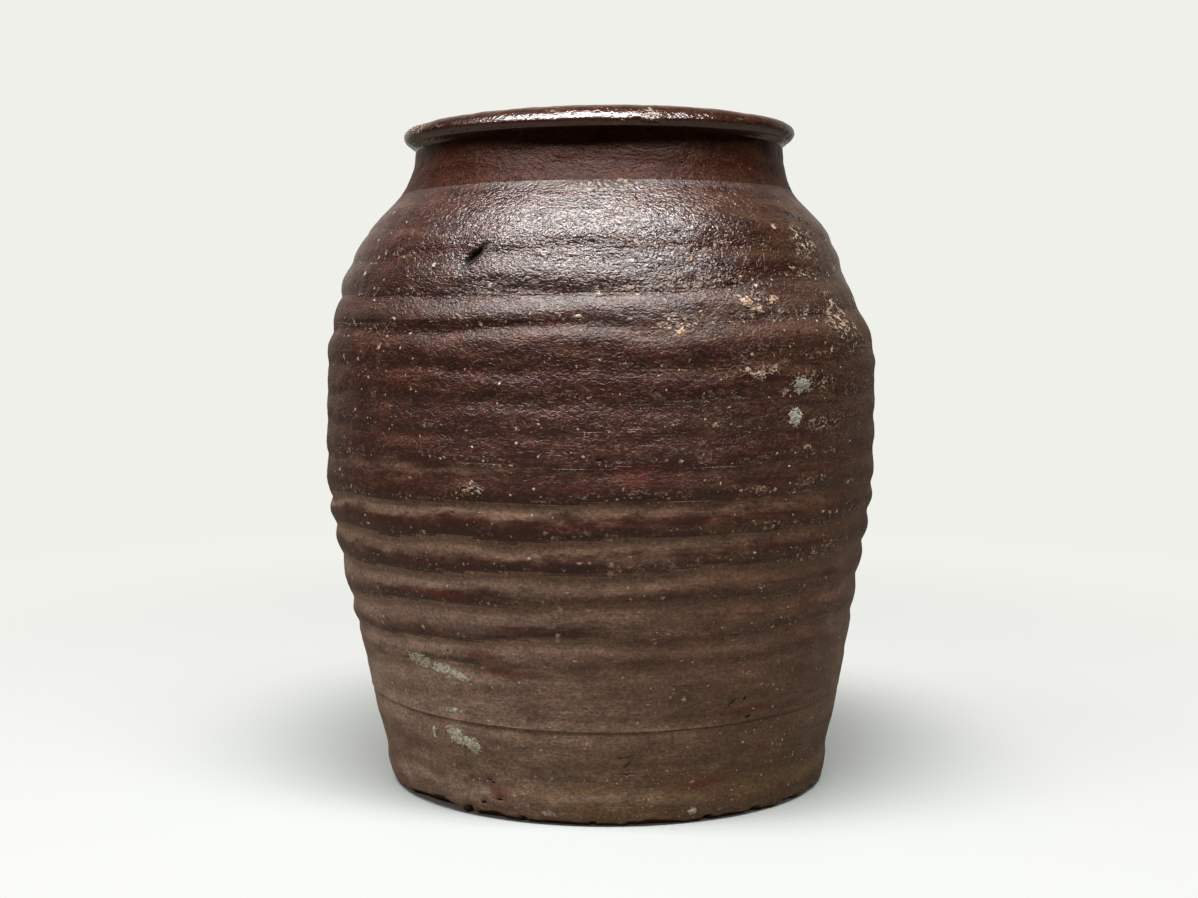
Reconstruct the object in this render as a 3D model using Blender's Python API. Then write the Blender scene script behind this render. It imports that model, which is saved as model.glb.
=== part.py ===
"""Thrown stoneware storage jar, put together from seven luted pieces of clay.

Metres, +Z up. The origin is on the ground, under the middle of the belly.
Angles run from the front of the jar (-Y), positive towards +X.
"""

import math

import bmesh
import bpy

# Heights of the pieces, from the ground up.
FOOT_COURSE_HEIGHT = 0.041
LOWER_WALL_HEIGHT = 0.135
JOINING_BAND_HEIGHT = 0.031
SHOULDER_HEIGHT = 0.058
NECK_HEIGHT = 0.021
RIM_HEIGHT = 0.0105

# Outer radii of the foot, the belly and the neck, and how much the seams beside them differ.
FOOT_RADIUS = 0.099
HEEL_SPREAD = 0.0086
BELLY_RADIUS = 0.1252
SHOULDER_INSET = 0.0034
NECK_RADIUS = 0.084
NECK_FLARE = 0.0067
RIM_OVERHANG = 0.0056

# Thickness of the clay, measured square to the wall.
HEEL_WALL = 0.0105
BODY_WALL = 0.0080
NECK_WALL = 0.0072
FLOOR_THICKNESS = 0.0100
COVE_RADIUS = 0.0120
FOOT_EDGE_ROUND = 0.0015
SLOPE_REACH = 0.0015

# Luted joints: a ridge on each piece sits in a groove of the piece above it.
JOINT_GAP = 0.0003
JOINT_RIDGE = 0.0030
SEAT_FLARE = 0.0030
SEAM_SAG = 0.0015

# Throwing rings: one groove that climbs round the wall, with swells between its turns.
RING_PITCH = 0.0145
RING_DEPTH = 0.0015
RING_SAG = 0.0010
FIRST_RING_HEIGHT = 0.0598

# How far the jar is out of true.
AXIS_DRIFT = 0.0036
FOOT_OVAL = 0.0008
MOUTH_LEAN = 0.0020

# Fineness of the mesh, as counts.
SEGMENTS = 48
FOOT_ROWS_PER_RING = 2.6
INNER_ROWS_PER_RING = 1.7
TURNS_BEYOND = 2
COVE_STEPS = 4
ROLL_STEPS = 9

# Shape of the wall between two seams: shares of the piece's height and of its change of radius.
FOOT_OUTLINE_SHARES = ((0.10, 0.17), (0.24, 0.32), (0.39, 0.34), (0.59, 0.56), (0.78, 0.81))
LOWER_OUTLINE_SHARES = ((0.14, 0.21), (0.29, 0.43), (0.44, 0.65), (0.59, 0.87), (0.70, 0.98), (0.81, 1.01))
BAND_OUTLINE_SHARES = ((0.52, 0.06), (0.77, 0.34))
SHOULDER_OUTLINE_SHARES = ((0.16, 0.10), (0.29, 0.19), (0.43, 0.29), (0.57, 0.39), (0.71, 0.53), (0.85, 0.74))
NECK_OUTLINE_SHARES = ((0.14, 0.28), (0.33, 0.57), (0.52, 0.75), (0.71, 0.92))

# Shares of the jar's height, each with a share of the axis drift, ring depth, foot oval or mouth lean.
DRIFT_SHARES = (
    (0.00, 1.00), (0.02, 0.86), (0.05, 0.78), (0.10, 0.70), (0.20, 0.55), (0.27, 0.28), (0.33, 0.06),
    (0.47, -0.06), (0.67, 0.06), (0.71, -0.25), (0.77, -0.78), (0.84, -0.53), (0.88, -0.58), (0.94, -0.22),
    (1.00, -0.17),
)
RING_DEPTH_SHARES = (
    (0.00, 0.00), (0.15, 0.00), (0.24, 0.60), (0.30, 1.00), (0.46, 1.00), (0.52, 0.50),
    (0.64, 0.50), (0.69, 0.90), (0.79, 0.80), (0.84, 0.35), (0.92, 0.00), (1.00, 0.00),
)
OVAL_SHARES = ((0.00, 1.00), (0.04, 0.80), (0.14, 0.00), (1.00, 0.00))
LEAN_SHARES = ((0.00, 0.00), (0.60, 0.00), (0.85, 0.80), (0.93, 1.00), (1.00, 1.00))

# Rows of the outer face that follow the ring groove, as shares of its pitch; the groove itself is at 0.
RING_ROW_SHARES = (0.0, 0.2, 0.5, 0.8)
LEAST_ROW_SHARE = 0.1

# Share of the seam sag that each seam has, by the piece below it.
SEAM_SAG_SHARES = {
    "foot_course": 1.0,
    "lower_wall": 1.0,
    "joining_band": 1.0,
    "shoulder_wall": 0.4,
    "neck_collar": 0.0,
    "rim_roll": 0.0,
}

# Shape of the rolled rim: height of its widest line, place of its crest and depth of its underside.
ROLL_WIDEST_SHARE = 0.72
ROLL_CREST_SHARE = 0.45
ROLL_UNDER_SHARE = 1.60
ROLL_FIRST_ANGLE = math.radians(-50)
ROLL_LAST_ANGLE = math.radians(180)

# Fired colours as red, green and blue out of 255, and roughness.
FINISHES = {
    "floor_slab": ((104, 78, 58), 0.75),
    "foot_course": ((99, 79, 58), 0.62),
    "lower_wall": ((84, 60, 50), 0.45),
    "joining_band": ((74, 40, 35), 0.34),
    "shoulder_wall": ((68, 33, 29), 0.30),
    "neck_collar": ((60, 28, 25), 0.32),
    "rim_roll": ((58, 32, 29), 0.36),
}

HEEL_RADIUS = FOOT_RADIUS + HEEL_SPREAD
SHOULDER_RADIUS = BELLY_RADIUS - SHOULDER_INSET
NECK_BASE_RADIUS = NECK_RADIUS + NECK_FLARE

# Each course of the wall: name, height, radius at its foot, radius at its top, outline between them.
COURSES = (
    ("foot_course", FOOT_COURSE_HEIGHT, FOOT_RADIUS, HEEL_RADIUS, FOOT_OUTLINE_SHARES),
    ("lower_wall", LOWER_WALL_HEIGHT, HEEL_RADIUS, BELLY_RADIUS, LOWER_OUTLINE_SHARES),
    ("joining_band", JOINING_BAND_HEIGHT, BELLY_RADIUS, SHOULDER_RADIUS, BAND_OUTLINE_SHARES),
    ("shoulder_wall", SHOULDER_HEIGHT, SHOULDER_RADIUS, NECK_BASE_RADIUS, SHOULDER_OUTLINE_SHARES),
    ("neck_collar", NECK_HEIGHT, NECK_BASE_RADIUS, NECK_RADIUS, NECK_OUTLINE_SHARES),
    ("rim_roll", RIM_HEIGHT, NECK_RADIUS, NECK_RADIUS, ()),
)
JAR_HEIGHT = sum(course[1] for course in COURSES)


def clear_scene():
    """Remove what the scene holds."""
    for old in list(bpy.data.objects):
        bpy.data.objects.remove(old, do_unlink=True)


def spaced(first, last, steps):
    """Evenly spaced values from first to last, with both ends."""
    return [first + (last - first) * step / steps for step in range(steps + 1)]


def curve_through(points):
    """A function that runs smoothly through points, each a place and a value."""
    places = [point[0] for point in points]
    values = [point[1] for point in points]
    last = len(points) - 1

    def tangent(index):
        before, after = max(index - 1, 0), min(index + 1, last)
        return (values[after] - values[before]) / (places[after] - places[before])

    def value_at(place):
        place = min(max(place, places[0]), places[-1])
        index = next(i for i in range(last) if place <= places[i + 1])
        span = places[index + 1] - places[index]
        t = (place - places[index]) / span
        rise = values[index + 1] - values[index]
        start, end = tangent(index) * span, tangent(index + 1) * span
        return values[index] + t * (start + t * (3 * rise - 2 * start - end + t * (start + end - 2 * rise)))

    return value_at


def share_curve(shares, size):
    """A function of height, from shares of the jar's height and shares of size."""
    return curve_through([(JAR_HEIGHT * place, size * value) for place, value in shares])


def seam_heights():
    """Height of each piece's top seam at the front of the jar, by the piece's name."""
    heights, top = {}, 0.0
    for name, height, *_ in COURSES:
        top += height
        heights[name] = top
    return heights


def outline_points():
    """Heights and outer radii of the wall, from the ground to the top of the neck."""
    points, low = [(0.0, FOOT_RADIUS)], 0.0
    for _, height, low_radius, high_radius, shares in COURSES[:-1]:
        for height_share, radius_share in shares:
            radius = low_radius + (high_radius - low_radius) * radius_share
            points.append((low + height * height_share, radius))
        low += height
        points.append((low, high_radius))
    return points


SEAMS = seam_heights()
WALL_TOP = SEAMS["neck_collar"]
wall_radius = curve_through(outline_points())
wall_thickness = curve_through((
    (0.0, HEEL_WALL),
    (SEAMS["foot_course"], BODY_WALL),
    (SEAMS["shoulder_wall"], BODY_WALL),
    (WALL_TOP, NECK_WALL),
))
drift_at = share_curve(DRIFT_SHARES, AXIS_DRIFT)
ring_depth_at = share_curve(RING_DEPTH_SHARES, RING_DEPTH)
oval_at = share_curve(OVAL_SHARES, FOOT_OVAL)
lean_at = share_curve(LEAN_SHARES, MOUTH_LEAN)


def groove_height(angle, turn):
    """Height of the ring groove after a number of turns, seen at one angle."""
    sag = RING_SAG * (1 - math.cos(2 * angle))
    return FIRST_RING_HEIGHT + sag + RING_PITCH * (turn + angle / math.tau)


def ring_turn(angle, height):
    """How many turns of the ring groove lie below a point of the wall."""
    return (height - groove_height(angle, 0)) / RING_PITCH


def ring_relief(angle, height):
    """How far the throwing rings stand out from the mean wall."""
    mean_swell = 2 / math.pi
    swell = abs(math.sin(math.pi * ring_turn(angle, height)))
    return ring_depth_at(height) * (swell - mean_swell)


def outer_radius(angle, height):
    """Radius of the outer face, with the rings and with the foot longer from front to back."""
    return wall_radius(height) + ring_relief(angle, height) + oval_at(height) * math.cos(angle) ** 2


def inner_radius(height):
    """Radius of the inner face, so that the wall keeps its thickness where it slants."""
    low, high = height - SLOPE_REACH, height + SLOPE_REACH
    slope = (wall_radius(high) - wall_radius(low)) / (high - low)
    return wall_radius(height) - wall_thickness(height) * math.hypot(1, slope)


def seam_height(name, angle):
    """Height of a piece's top seam, which rises a little towards the sides."""
    return SEAMS[name] + SEAM_SAG * SEAM_SAG_SHARES[name] * (1 - math.cos(2 * angle))


def joint_ridge(angle, height):
    """Top of the ridge in the middle of a joint face, as a radius and a height."""
    middle = (outer_radius(angle, height) + inner_radius(height)) / 2
    return middle, height + JOINT_RIDGE


def joint_lift(angle, height):
    """How far the upper piece is lifted to keep the joint gap square to the slanted joint face."""
    half_width = (outer_radius(angle, height) - inner_radius(height)) / 2
    return JOINT_GAP * math.hypot(1, JOINT_RIDGE / half_width)


def row_count(height, rows_per_ring):
    """Rows of faces on a wall of this height."""
    return max(2, round(height / RING_PITCH * rows_per_ring))


def groove_under(angle, seam):
    """Bottom of the groove that takes the ridge of the piece below, as a list of one point."""
    middle, top = joint_ridge(angle, seam)
    return [(middle, top + joint_lift(angle, seam))]


def ring_turns(below, name):
    """Turns of the ring groove that cross a piece at any angle."""
    first = math.floor((SEAMS[below] - FIRST_RING_HEIGHT) / RING_PITCH) - TURNS_BEYOND
    last = math.ceil((SEAMS[name] - FIRST_RING_HEIGHT) / RING_PITCH) + TURNS_BEYOND
    return range(first, last)


def climbing_heights(angle, turns, low, high):
    """Heights of the outer face's rows, which climb round the wall with the ring groove.

    Each column has the same number of rows. Those that would pass a seam, or nearly reach it, lie on it.
    """
    least = RING_PITCH * LEAST_ROW_SHARE
    heights = [low]
    for turn in turns:
        for share in RING_ROW_SHARES:
            height = groove_height(angle, turn + share)
            height = low if height < low + least else height
            heights.append(high if height > high - least else height)
    return heights + [high]


def course_faces(name, below, angle):
    """Outer points upwards, then joint and inner points downwards, of a course on top of another."""
    seam = seam_height(below, angle)
    low, high = seam + joint_lift(angle, seam), seam_height(name, angle)
    rows = row_count(SEAMS[name] - SEAMS[below], INNER_ROWS_PER_RING)
    heights = climbing_heights(angle, ring_turns(below, name), low, high)
    outer = [(outer_radius(angle, height), height) for height in heights]
    inner = [(inner_radius(height), height) for height in spaced(high, low, rows)]
    return outer, [joint_ridge(angle, high)] + inner + groove_under(angle, seam)


def cove_top():
    return FLOOR_THICKNESS + COVE_RADIUS


def seat_radius():
    """Radius of the floor's seat at the floor's top face."""
    return inner_radius(cove_top()) - COVE_RADIUS


def foot_faces(angle):
    """Worn edge and outer points, then inner wall, rounded inner corner and floor seat."""
    high = seam_height("foot_course", angle)
    outer_rows = row_count(FOOT_COURSE_HEIGHT, FOOT_ROWS_PER_RING)
    inner_rows = row_count(FOOT_COURSE_HEIGHT - cove_top(), INNER_ROWS_PER_RING)
    outer = [(outer_radius(angle, 0.0) - FOOT_EDGE_ROUND, 0.0)]
    outer += [(outer_radius(angle, height), height) for height in spaced(FOOT_EDGE_ROUND, high, outer_rows)]
    inner = [(inner_radius(height), height) for height in spaced(high, cove_top(), inner_rows)]
    for turn in spaced(0.0, math.pi / 2, COVE_STEPS)[1:]:
        radius = seat_radius() + COVE_RADIUS * math.cos(turn)
        inner.append((radius, cove_top() - COVE_RADIUS * math.sin(turn)))
    return outer, [joint_ridge(angle, high)] + inner + [(seat_radius() - SEAT_FLARE, 0.0)]


def rim_faces(angle):
    """Slanted underside and round nose of the rolled rim, then its inner face and joint."""
    low = WALL_TOP + joint_lift(angle, WALL_TOP)
    inner_face = inner_radius(WALL_TOP)
    nose = NECK_RADIUS + RIM_OVERHANG
    crest = nose - (nose - inner_face) * ROLL_CREST_SHARE
    widest = WALL_TOP + RIM_HEIGHT * ROLL_WIDEST_SHARE
    roll = [(NECK_RADIUS, low)]
    for turn in spaced(ROLL_FIRST_ANGLE, ROLL_LAST_ANGLE, ROLL_STEPS):
        reach = nose - crest if math.cos(turn) > 0 else crest - inner_face
        rise = (JAR_HEIGHT - widest) * (1 if turn > 0 else ROLL_UNDER_SHARE)
        roll.append((crest + reach * math.cos(turn), widest + rise * math.sin(turn)))
    return roll, [(inner_face, low)] + groove_under(angle, WALL_TOP)


def floor_section():
    """Section of the floor disc from the middle of its top to the middle of its underside."""
    clearance = JOINT_GAP * math.hypot(1, SEAT_FLARE / FLOOR_THICKNESS)
    edge = seat_radius() - clearance
    return [(0.0, FLOOR_THICKNESS), (edge, FLOOR_THICKNESS), (edge - SEAT_FLARE, 0.0), (0.0, 0.0)]


def place(angle, radius, height):
    """World position of a point of the jar, with the axis drift and the leaning mouth."""
    right = drift_at(height) + radius * math.sin(angle)
    rise = lean_at(height) * right / (2 * NECK_RADIUS)
    return right, -radius * math.cos(angle), height + rise


def clay_finish(name):
    """Fired clay: one plain material for each piece."""
    colour, roughness = FINISHES[name]
    material = bpy.data.materials.new(name + "_clay")
    material.use_nodes = True
    shader = material.node_tree.nodes["Principled BSDF"]
    linear = [(part / 255) ** 2.2 for part in colour]
    shader.inputs["Base Color"].default_value = (*linear, 1.0)
    shader.inputs["Roughness"].default_value = roughness
    shader.inputs["Metallic"].default_value = 0.0
    return material


def add_piece(name, bm, base, jar):
    """Turn a bmesh in world height into a named object that stands at its base height."""
    bmesh.ops.recalc_face_normals(bm, faces=bm.faces)
    bmesh.ops.translate(bm, verts=bm.verts, vec=(0.0, 0.0, -base))
    mesh = bpy.data.meshes.new(name)
    bm.to_mesh(mesh)
    bm.free()
    mesh.shade_smooth()
    mesh.set_sharp_from_angle(angle=math.radians(40))
    mesh.materials.append(clay_finish(name))
    piece = bpy.data.objects.new(name, mesh)
    piece.location = (0.0, 0.0, base)
    piece.parent = jar
    bpy.context.scene.collection.objects.link(piece)
    return piece


def vertex_chain(bm, angle, points):
    """Vertices for points of one column; a point that repeats the one before it shares its vertex."""
    chain = []
    for index, point in enumerate(points):
        repeated = index > 0 and point == points[index - 1]
        chain.append(chain[-1] if repeated else bm.verts.new(place(angle, *point)))
    return chain


def skin_between(bm, left, right):
    """Faces between two neighbouring chains, with fewer corners where a chain repeats a vertex."""
    for index in range(len(left) - 1):
        corners = []
        for corner in (left[index], right[index], right[index + 1], left[index + 1]):
            if corner not in corners:
                corners.append(corner)
        if len(corners) > 2:
            bm.faces.new(corners)


def turned_ring(faces_at, climb):
    """A closed ring of clay from its outer and its inner points at each angle.

    The outer rows may climb: after a full turn, each meets the row that lies climb rows above it.
    """
    bm = bmesh.new()
    columns = []
    for segment in range(SEGMENTS):
        angle = math.tau * segment / SEGMENTS
        outer, inner = (vertex_chain(bm, angle, points) for points in faces_at(angle))
        columns.append((outer, [outer[-1], *inner, outer[0]]))
    first_outer, first_inner = columns[0]
    climbed = first_outer[:1] + first_outer[climb + 1:] + first_outer[-1:] * climb
    columns.append((climbed, first_inner))
    for (left_outer, left_inner), (right_outer, right_inner) in zip(columns, columns[1:]):
        skin_between(bm, left_outer, right_outer)
        skin_between(bm, left_inner, right_inner)
    return bm


def turned_disc(section):
    """A solid disc of clay from half its section, whose two ends lie on the axis."""
    bm = bmesh.new()
    edges = []
    for radius, height in section[1:-1]:
        angles = [math.tau * segment / SEGMENTS for segment in range(SEGMENTS)]
        edges.append([bm.verts.new(place(angle, radius, height)) for angle in angles])
    ends = (section[0], section[-1])
    for rim, (radius, height) in zip((edges[0], edges[-1]), ends):
        centre = bm.verts.new(place(0.0, radius, height))
        for index in range(SEGMENTS):
            bm.faces.new((centre, rim[index - 1], rim[index]))
    for upper, lower in zip(edges, edges[1:]):
        for index in range(SEGMENTS):
            bm.faces.new((upper[index - 1], lower[index - 1], lower[index], upper[index]))
    return bm


def build_jar():
    clear_scene()
    jar = bpy.data.objects.new("jar", None)
    bpy.context.scene.collection.objects.link(jar)
    add_piece("floor_slab", turned_disc(floor_section()), 0.0, jar)
    add_piece("foot_course", turned_ring(foot_faces, 0), 0.0, jar)
    for (below, *_), (name, *_) in zip(COURSES[:-2], COURSES[1:-1]):
        wall = turned_ring(lambda angle: course_faces(name, below, angle), len(RING_ROW_SHARES))
        add_piece(name, wall, SEAMS[below], jar)
    add_piece("rim_roll", turned_ring(rim_faces, 0), WALL_TOP, jar)


build_jar()
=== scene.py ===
import math

import bpy
import numpy as np
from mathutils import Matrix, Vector


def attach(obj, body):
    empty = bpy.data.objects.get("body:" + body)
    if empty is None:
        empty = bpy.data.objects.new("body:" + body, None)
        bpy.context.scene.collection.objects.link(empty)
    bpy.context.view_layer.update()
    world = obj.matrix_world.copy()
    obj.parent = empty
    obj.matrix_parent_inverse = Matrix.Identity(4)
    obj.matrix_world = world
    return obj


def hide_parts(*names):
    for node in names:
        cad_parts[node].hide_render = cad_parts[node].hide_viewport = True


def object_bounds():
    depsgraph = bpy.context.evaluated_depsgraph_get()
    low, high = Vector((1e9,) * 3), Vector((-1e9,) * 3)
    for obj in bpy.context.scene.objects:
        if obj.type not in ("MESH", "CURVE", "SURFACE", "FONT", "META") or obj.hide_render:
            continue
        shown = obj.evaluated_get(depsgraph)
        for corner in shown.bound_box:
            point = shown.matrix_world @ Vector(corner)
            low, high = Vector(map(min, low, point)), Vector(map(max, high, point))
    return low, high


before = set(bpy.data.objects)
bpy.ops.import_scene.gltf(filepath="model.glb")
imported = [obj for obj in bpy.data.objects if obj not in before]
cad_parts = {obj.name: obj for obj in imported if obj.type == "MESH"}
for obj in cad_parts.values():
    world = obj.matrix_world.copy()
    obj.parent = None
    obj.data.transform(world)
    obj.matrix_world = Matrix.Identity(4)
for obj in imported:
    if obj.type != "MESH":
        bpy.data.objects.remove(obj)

# Looks of a thrown stoneware storage jar: metres, +Z up, angles from the front (-Y), positive towards +X.
MM = 0.001
CAD_LOW, CAD_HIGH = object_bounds()

# Fineness of the meshes.
SEGMENTS = 640
OUTER_ROW = 0.0012
FOOT_FINE_UP_TO = 0.004
SEAM_ROWS = (0.00002, 0.00015, 0.0004, 0.0008)
INNER_ROW = 0.0045
ROLL_ROWS = 72
FLOOR_ROW = 0.0020
FOOT_EDGE_ROWS = 7
COVE_ROWS = 9
SHARP_ANGLE = math.radians(38)

# Heights of the pieces, from the ground up.
FOOT_COURSE_HEIGHT = 0.041
LOWER_WALL_HEIGHT = 0.135
JOINING_BAND_HEIGHT = 0.031
SHOULDER_HEIGHT = 0.058
NECK_HEIGHT = 0.021
RIM_HEIGHT = 0.0105

# Outer radii of the foot, the belly and the neck, and how much the seams beside them differ.
FOOT_RADIUS = 0.099
HEEL_SPREAD = 0.0086
BELLY_RADIUS = 0.1252
SHOULDER_INSET = 0.0034
NECK_RADIUS = 0.084
NECK_FLARE = 0.0067
RIM_OVERHANG = 0.0056

# Thickness of the clay, measured square to the wall.
HEEL_WALL = 0.0105
BODY_WALL = 0.0080
NECK_WALL = 0.0072
FLOOR_THICKNESS = 0.0100
COVE_RADIUS = 0.0120
SLOPE_REACH = 0.0015
JOINT_RIDGE = 0.0030
JOINT_STEP = 0.0004
SEAT_FLARE = 0.0030
SEAM_SAG = 0.0015

# How far the jar is out of true.
AXIS_DRIFT = 0.0036
FOOT_OVAL = 0.0008
MOUTH_LEAN = 0.0020

# Throwing rings: the heights where their groove passes the front, and how far its path sags and tilts.
RING_PITCH = 0.0145
RING_DEPTH = 0.0016
FRONT_GROOVES = (
    0.0660, 0.0765, 0.0910, 0.1045, 0.1185, 0.1335, 0.1475, 0.1600, 0.1725, 0.1880, 0.2040, 0.2180, 0.2360,
    0.2490, 0.2620,
)
RING_SAGS = (
    (0.066, -0.0010), (0.090, 0.0), (0.115, 0.0013), (0.140, 0.0008), (0.165, 0.0020), (0.180, 0.0026),
    (0.222, 0.0030), (0.245, 0.0018), (0.262, 0.0),
)
RING_TILTS = (
    (0.066, 0.0), (0.095, 0.0012), (0.125, 0.0005), (0.150, -0.0015), (0.178, -0.0012), (0.190, 0.0),
    (0.212, 0.0016), (0.250, 0.0014),
)

# The heights at which the groove passes the left and the right edge, turn by turn from the first one given.
EDGE_FIRST_TURN = -1
LEFT_GROOVES = (
    0.0407, 0.0559, 0.0721, 0.0840, 0.1015, 0.1157, 0.1299, 0.1490, 0.1618, 0.1754, 0.1890, 0.2039, 0.2193,
    0.2359, 0.2475, 0.2597, 0.2704, 0.2776,
)
RIGHT_GROOVES = (
    0.0444, 0.0624, 0.0794, 0.0946, 0.1097, 0.1244, 0.1367, 0.1522, 0.1659, 0.1799, 0.1970, 0.2147, 0.2292,
    0.2430, 0.2579, 0.2646, 0.2754, 0.2850,
)
EDGE_GROOVES = ((-90, LEFT_GROOVES), (90, RIGHT_GROOVES))
EDGE_FADE = (math.radians(45), math.radians(10))

# The grooves are sharp round the left flank and soft elsewhere. At the front they are deeper round the join
# and shallower below and above it: height, and depth there against the depth at the sides.
SOFT_GROOVE_SHARE = 0.38
FRONT_DEPTH_SHARES = (
    (0.120, 0.75), (0.160, 0.90), (0.175, 1.30), (0.190, 1.35), (0.205, 1.45), (0.222, 1.45), (0.234, 0.75),
    (0.250, 0.65),
)
SOFT_MIDDLE = -75
SOFT_FROM = (math.radians(35), math.radians(75))
SLIP_OVERLAP_TURNS = 0.18
SLIP_OVERLAP_UP_TO = (0.190, 0.165)

# Unevenness of the clay: depths in millimetres, and how far lumps and streaks reach sideways and up.
RING_DRIFT_TURNS = 0.15
RING_DRIFT_LUMPS = (0.028, 0.012)
RING_SWING_SHARE = 0.45
RING_SWING_LUMPS = (0.050, 0.011)
LUMP_DEPTHS = (0.12, 0.26)
LUMPS = (0.0085, 0.0048)
LUMPIER_BETWEEN = (0.100, 0.200)
STREAK_DEPTH = 0.08
STREAKS = (0.045, 0.0024)
LEFT_MIDDLE = -60
LIP_DEPTH = 0.17
LIP_DEPTH_SWING = 0.13
LIP_SWING_SHARE = 0.7
LIP_GROOVE_SHARE = 1.4
LIP_LUMPS = (0.020, 0.020)
LIP_HEIGHT = 0.0022
LIP_GROOVE_HEIGHT = 0.0012
INNER_RIDGE_PITCH = 0.8 * RING_PITCH
INNER_RIDGE_DEPTH = 0.5
INNER_LUMP_DEPTH = 0.25
INNER_LUMPS = (0.018, 0.008)
INNER_RIDGES_BETWEEN = (0.050, 0.262)

# The worn lower edge of the foot, the ground face beside it, and the floor: its cutting marks underneath
# and its thumbed spiral on top. Depths are in millimetres.
FOOT_EDGE_ROUND = 0.0018
FOOT_EDGE_SWING_SHARE = 0.6
FOOT_EDGE_DEPTH_SHARE = 1.15
FOOT_EDGE_LUMPS = (0.009, 0.009)
CHIP_SWING_SHARE = 0.22
GROUND_LIFT = 0.25
GROUND_LUMPS = (0.006, 0.006)
GROUND_SHARES = (0.25, 0.5, 0.75)
WIRE_MIDDLE = (0.12, -0.05)
WIRE_PITCH = 0.0032
WIRE_DEPTH = 0.22
UNDERSIDE_DEPTH = 0.15
UNDERSIDE_LUMPS = (0.008, 0.008)
FLOOR_NUDGE = 0.00001
SPIRAL_PITCH = 0.012
SPIRAL_DEPTH = 0.9
SPIRAL_FADES = (0.004, 0.016, 0.006)
SPIRAL_LUMP_DEPTH = 0.3
SPIRAL_LUMPS = (0.012, 0.012)

# The rim: how far it is worn, in millimetres, the line round it, and shares of the way along its section.
RIM_WEAR = 0.15
RIM_WEAR_LUMPS = (0.020, 0.020)
RIM_GRAIN = 0.12
RIM_GRAIN_LUMPS = (0.0035, 0.0035)
RIM_DENT_LUMPS = (0.006, 0.006)
RIM_LINE_DEPTH = 0.22
RIM_LINE_SHARE = 0.20
RIM_LINE_WIDTH_SHARE = 0.012
RIM_AHEAD_SHARE = 0.004
RIM_FADE_SHARES = (0.08, 0.93)
RIM_INSIDE_SHARES = (0.84, 0.97)
DROOP_SHARPNESS = 1.5

# Shape of the wall between two seams: shares of the piece's height and of its change of radius.
FOOT_OUTLINE_SHARES = ((0.10, 0.17), (0.24, 0.32), (0.39, 0.34), (0.59, 0.56), (0.78, 0.81))
LOWER_OUTLINE_SHARES = ((0.14, 0.21), (0.29, 0.43), (0.44, 0.65), (0.59, 0.87), (0.70, 0.98), (0.81, 1.01))
BAND_OUTLINE_SHARES = ((0.52, 0.06), (0.77, 0.34))
SHOULDER_OUTLINE_SHARES = ((0.16, 0.10), (0.29, 0.19), (0.43, 0.29), (0.57, 0.39), (0.71, 0.53), (0.85, 0.74))
NECK_OUTLINE_SHARES = ((0.14, 0.28), (0.33, 0.57), (0.52, 0.75), (0.71, 0.92))

# Shares of the jar's height, each with a share of the axis drift, ring depth, foot oval or mouth lean.
DRIFT_SHARES = (
    (0.00, 1.00), (0.02, 0.86), (0.05, 0.78), (0.10, 0.70), (0.20, 0.55), (0.27, 0.28), (0.33, 0.06),
    (0.47, -0.06), (0.67, 0.06), (0.71, -0.25), (0.77, -0.78), (0.84, -0.53), (0.88, -0.58), (0.94, -0.22),
    (1.00, -0.17),
)
RING_DEPTH_SHARES = (
    (0.00, 0.00), (0.15, 0.00), (0.24, 0.60), (0.30, 1.00), (0.46, 1.00), (0.52, 0.50),
    (0.64, 0.50), (0.69, 0.90), (0.79, 0.80), (0.84, 0.35), (0.92, 0.00), (1.00, 0.00),
)
OVAL_SHARES = ((0.00, 1.00), (0.04, 0.80), (0.14, 0.00), (1.00, 0.00))
LEAN_SHARES = ((0.00, 0.00), (0.60, 0.00), (0.85, 0.80), (0.93, 1.00), (1.00, 1.00))
SEAM_SAG_SHARES = {"foot_course": 1.0, "lower_wall": 1.0, "joining_band": 1.0, "shoulder_wall": 0.4}

# Section of the rolled rim, in millimetres inwards from its nose and up from the neck: it droops at the front
# and flares up at the sides and the back.
RIM_FRONT_SECTION = (
    (5.6, 0.0), (3.6, 0.1), (2.0, 0.5), (0.8, 1.3), (0.15, 2.4), (0.0, 3.4), (0.2, 4.3), (1.0, 5.7),
    (2.1, 7.1), (3.5, 8.4), (5.2, 9.5), (7.6, 10.4), (10.0, 10.9), (11.8, 10.6), (12.6, 9.4),
)
RIM_SIDE_SECTION = (
    (5.6, 0.0), (5.3, 1.0), (4.7, 2.0), (3.7, 2.9), (2.3, 3.8), (1.0, 4.9), (0.25, 6.1), (0.0, 7.3),
    (0.3, 8.5), (1.1, 9.5), (2.6, 10.2), (5.2, 10.5), (8.6, 10.4), (11.4, 9.9), (12.6, 8.8),
)

HEEL_RADIUS = FOOT_RADIUS + HEEL_SPREAD
SHOULDER_RADIUS = BELLY_RADIUS - SHOULDER_INSET
NECK_BASE_RADIUS = NECK_RADIUS + NECK_FLARE

# How glossy each piece is, and how much rougher it turns from the foot of the neck upwards.
GLOSS = {
    "foot_course": 0.42,
    "lower_wall": 0.42,
    "joining_band": 0.32,
    "shoulder_wall": 0.55,
    "neck_collar": 0.08,
    "rim_roll": 0.75,
}
DRYNESS = {"shoulder_wall": 0.18, "neck_collar": 0.14}

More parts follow.
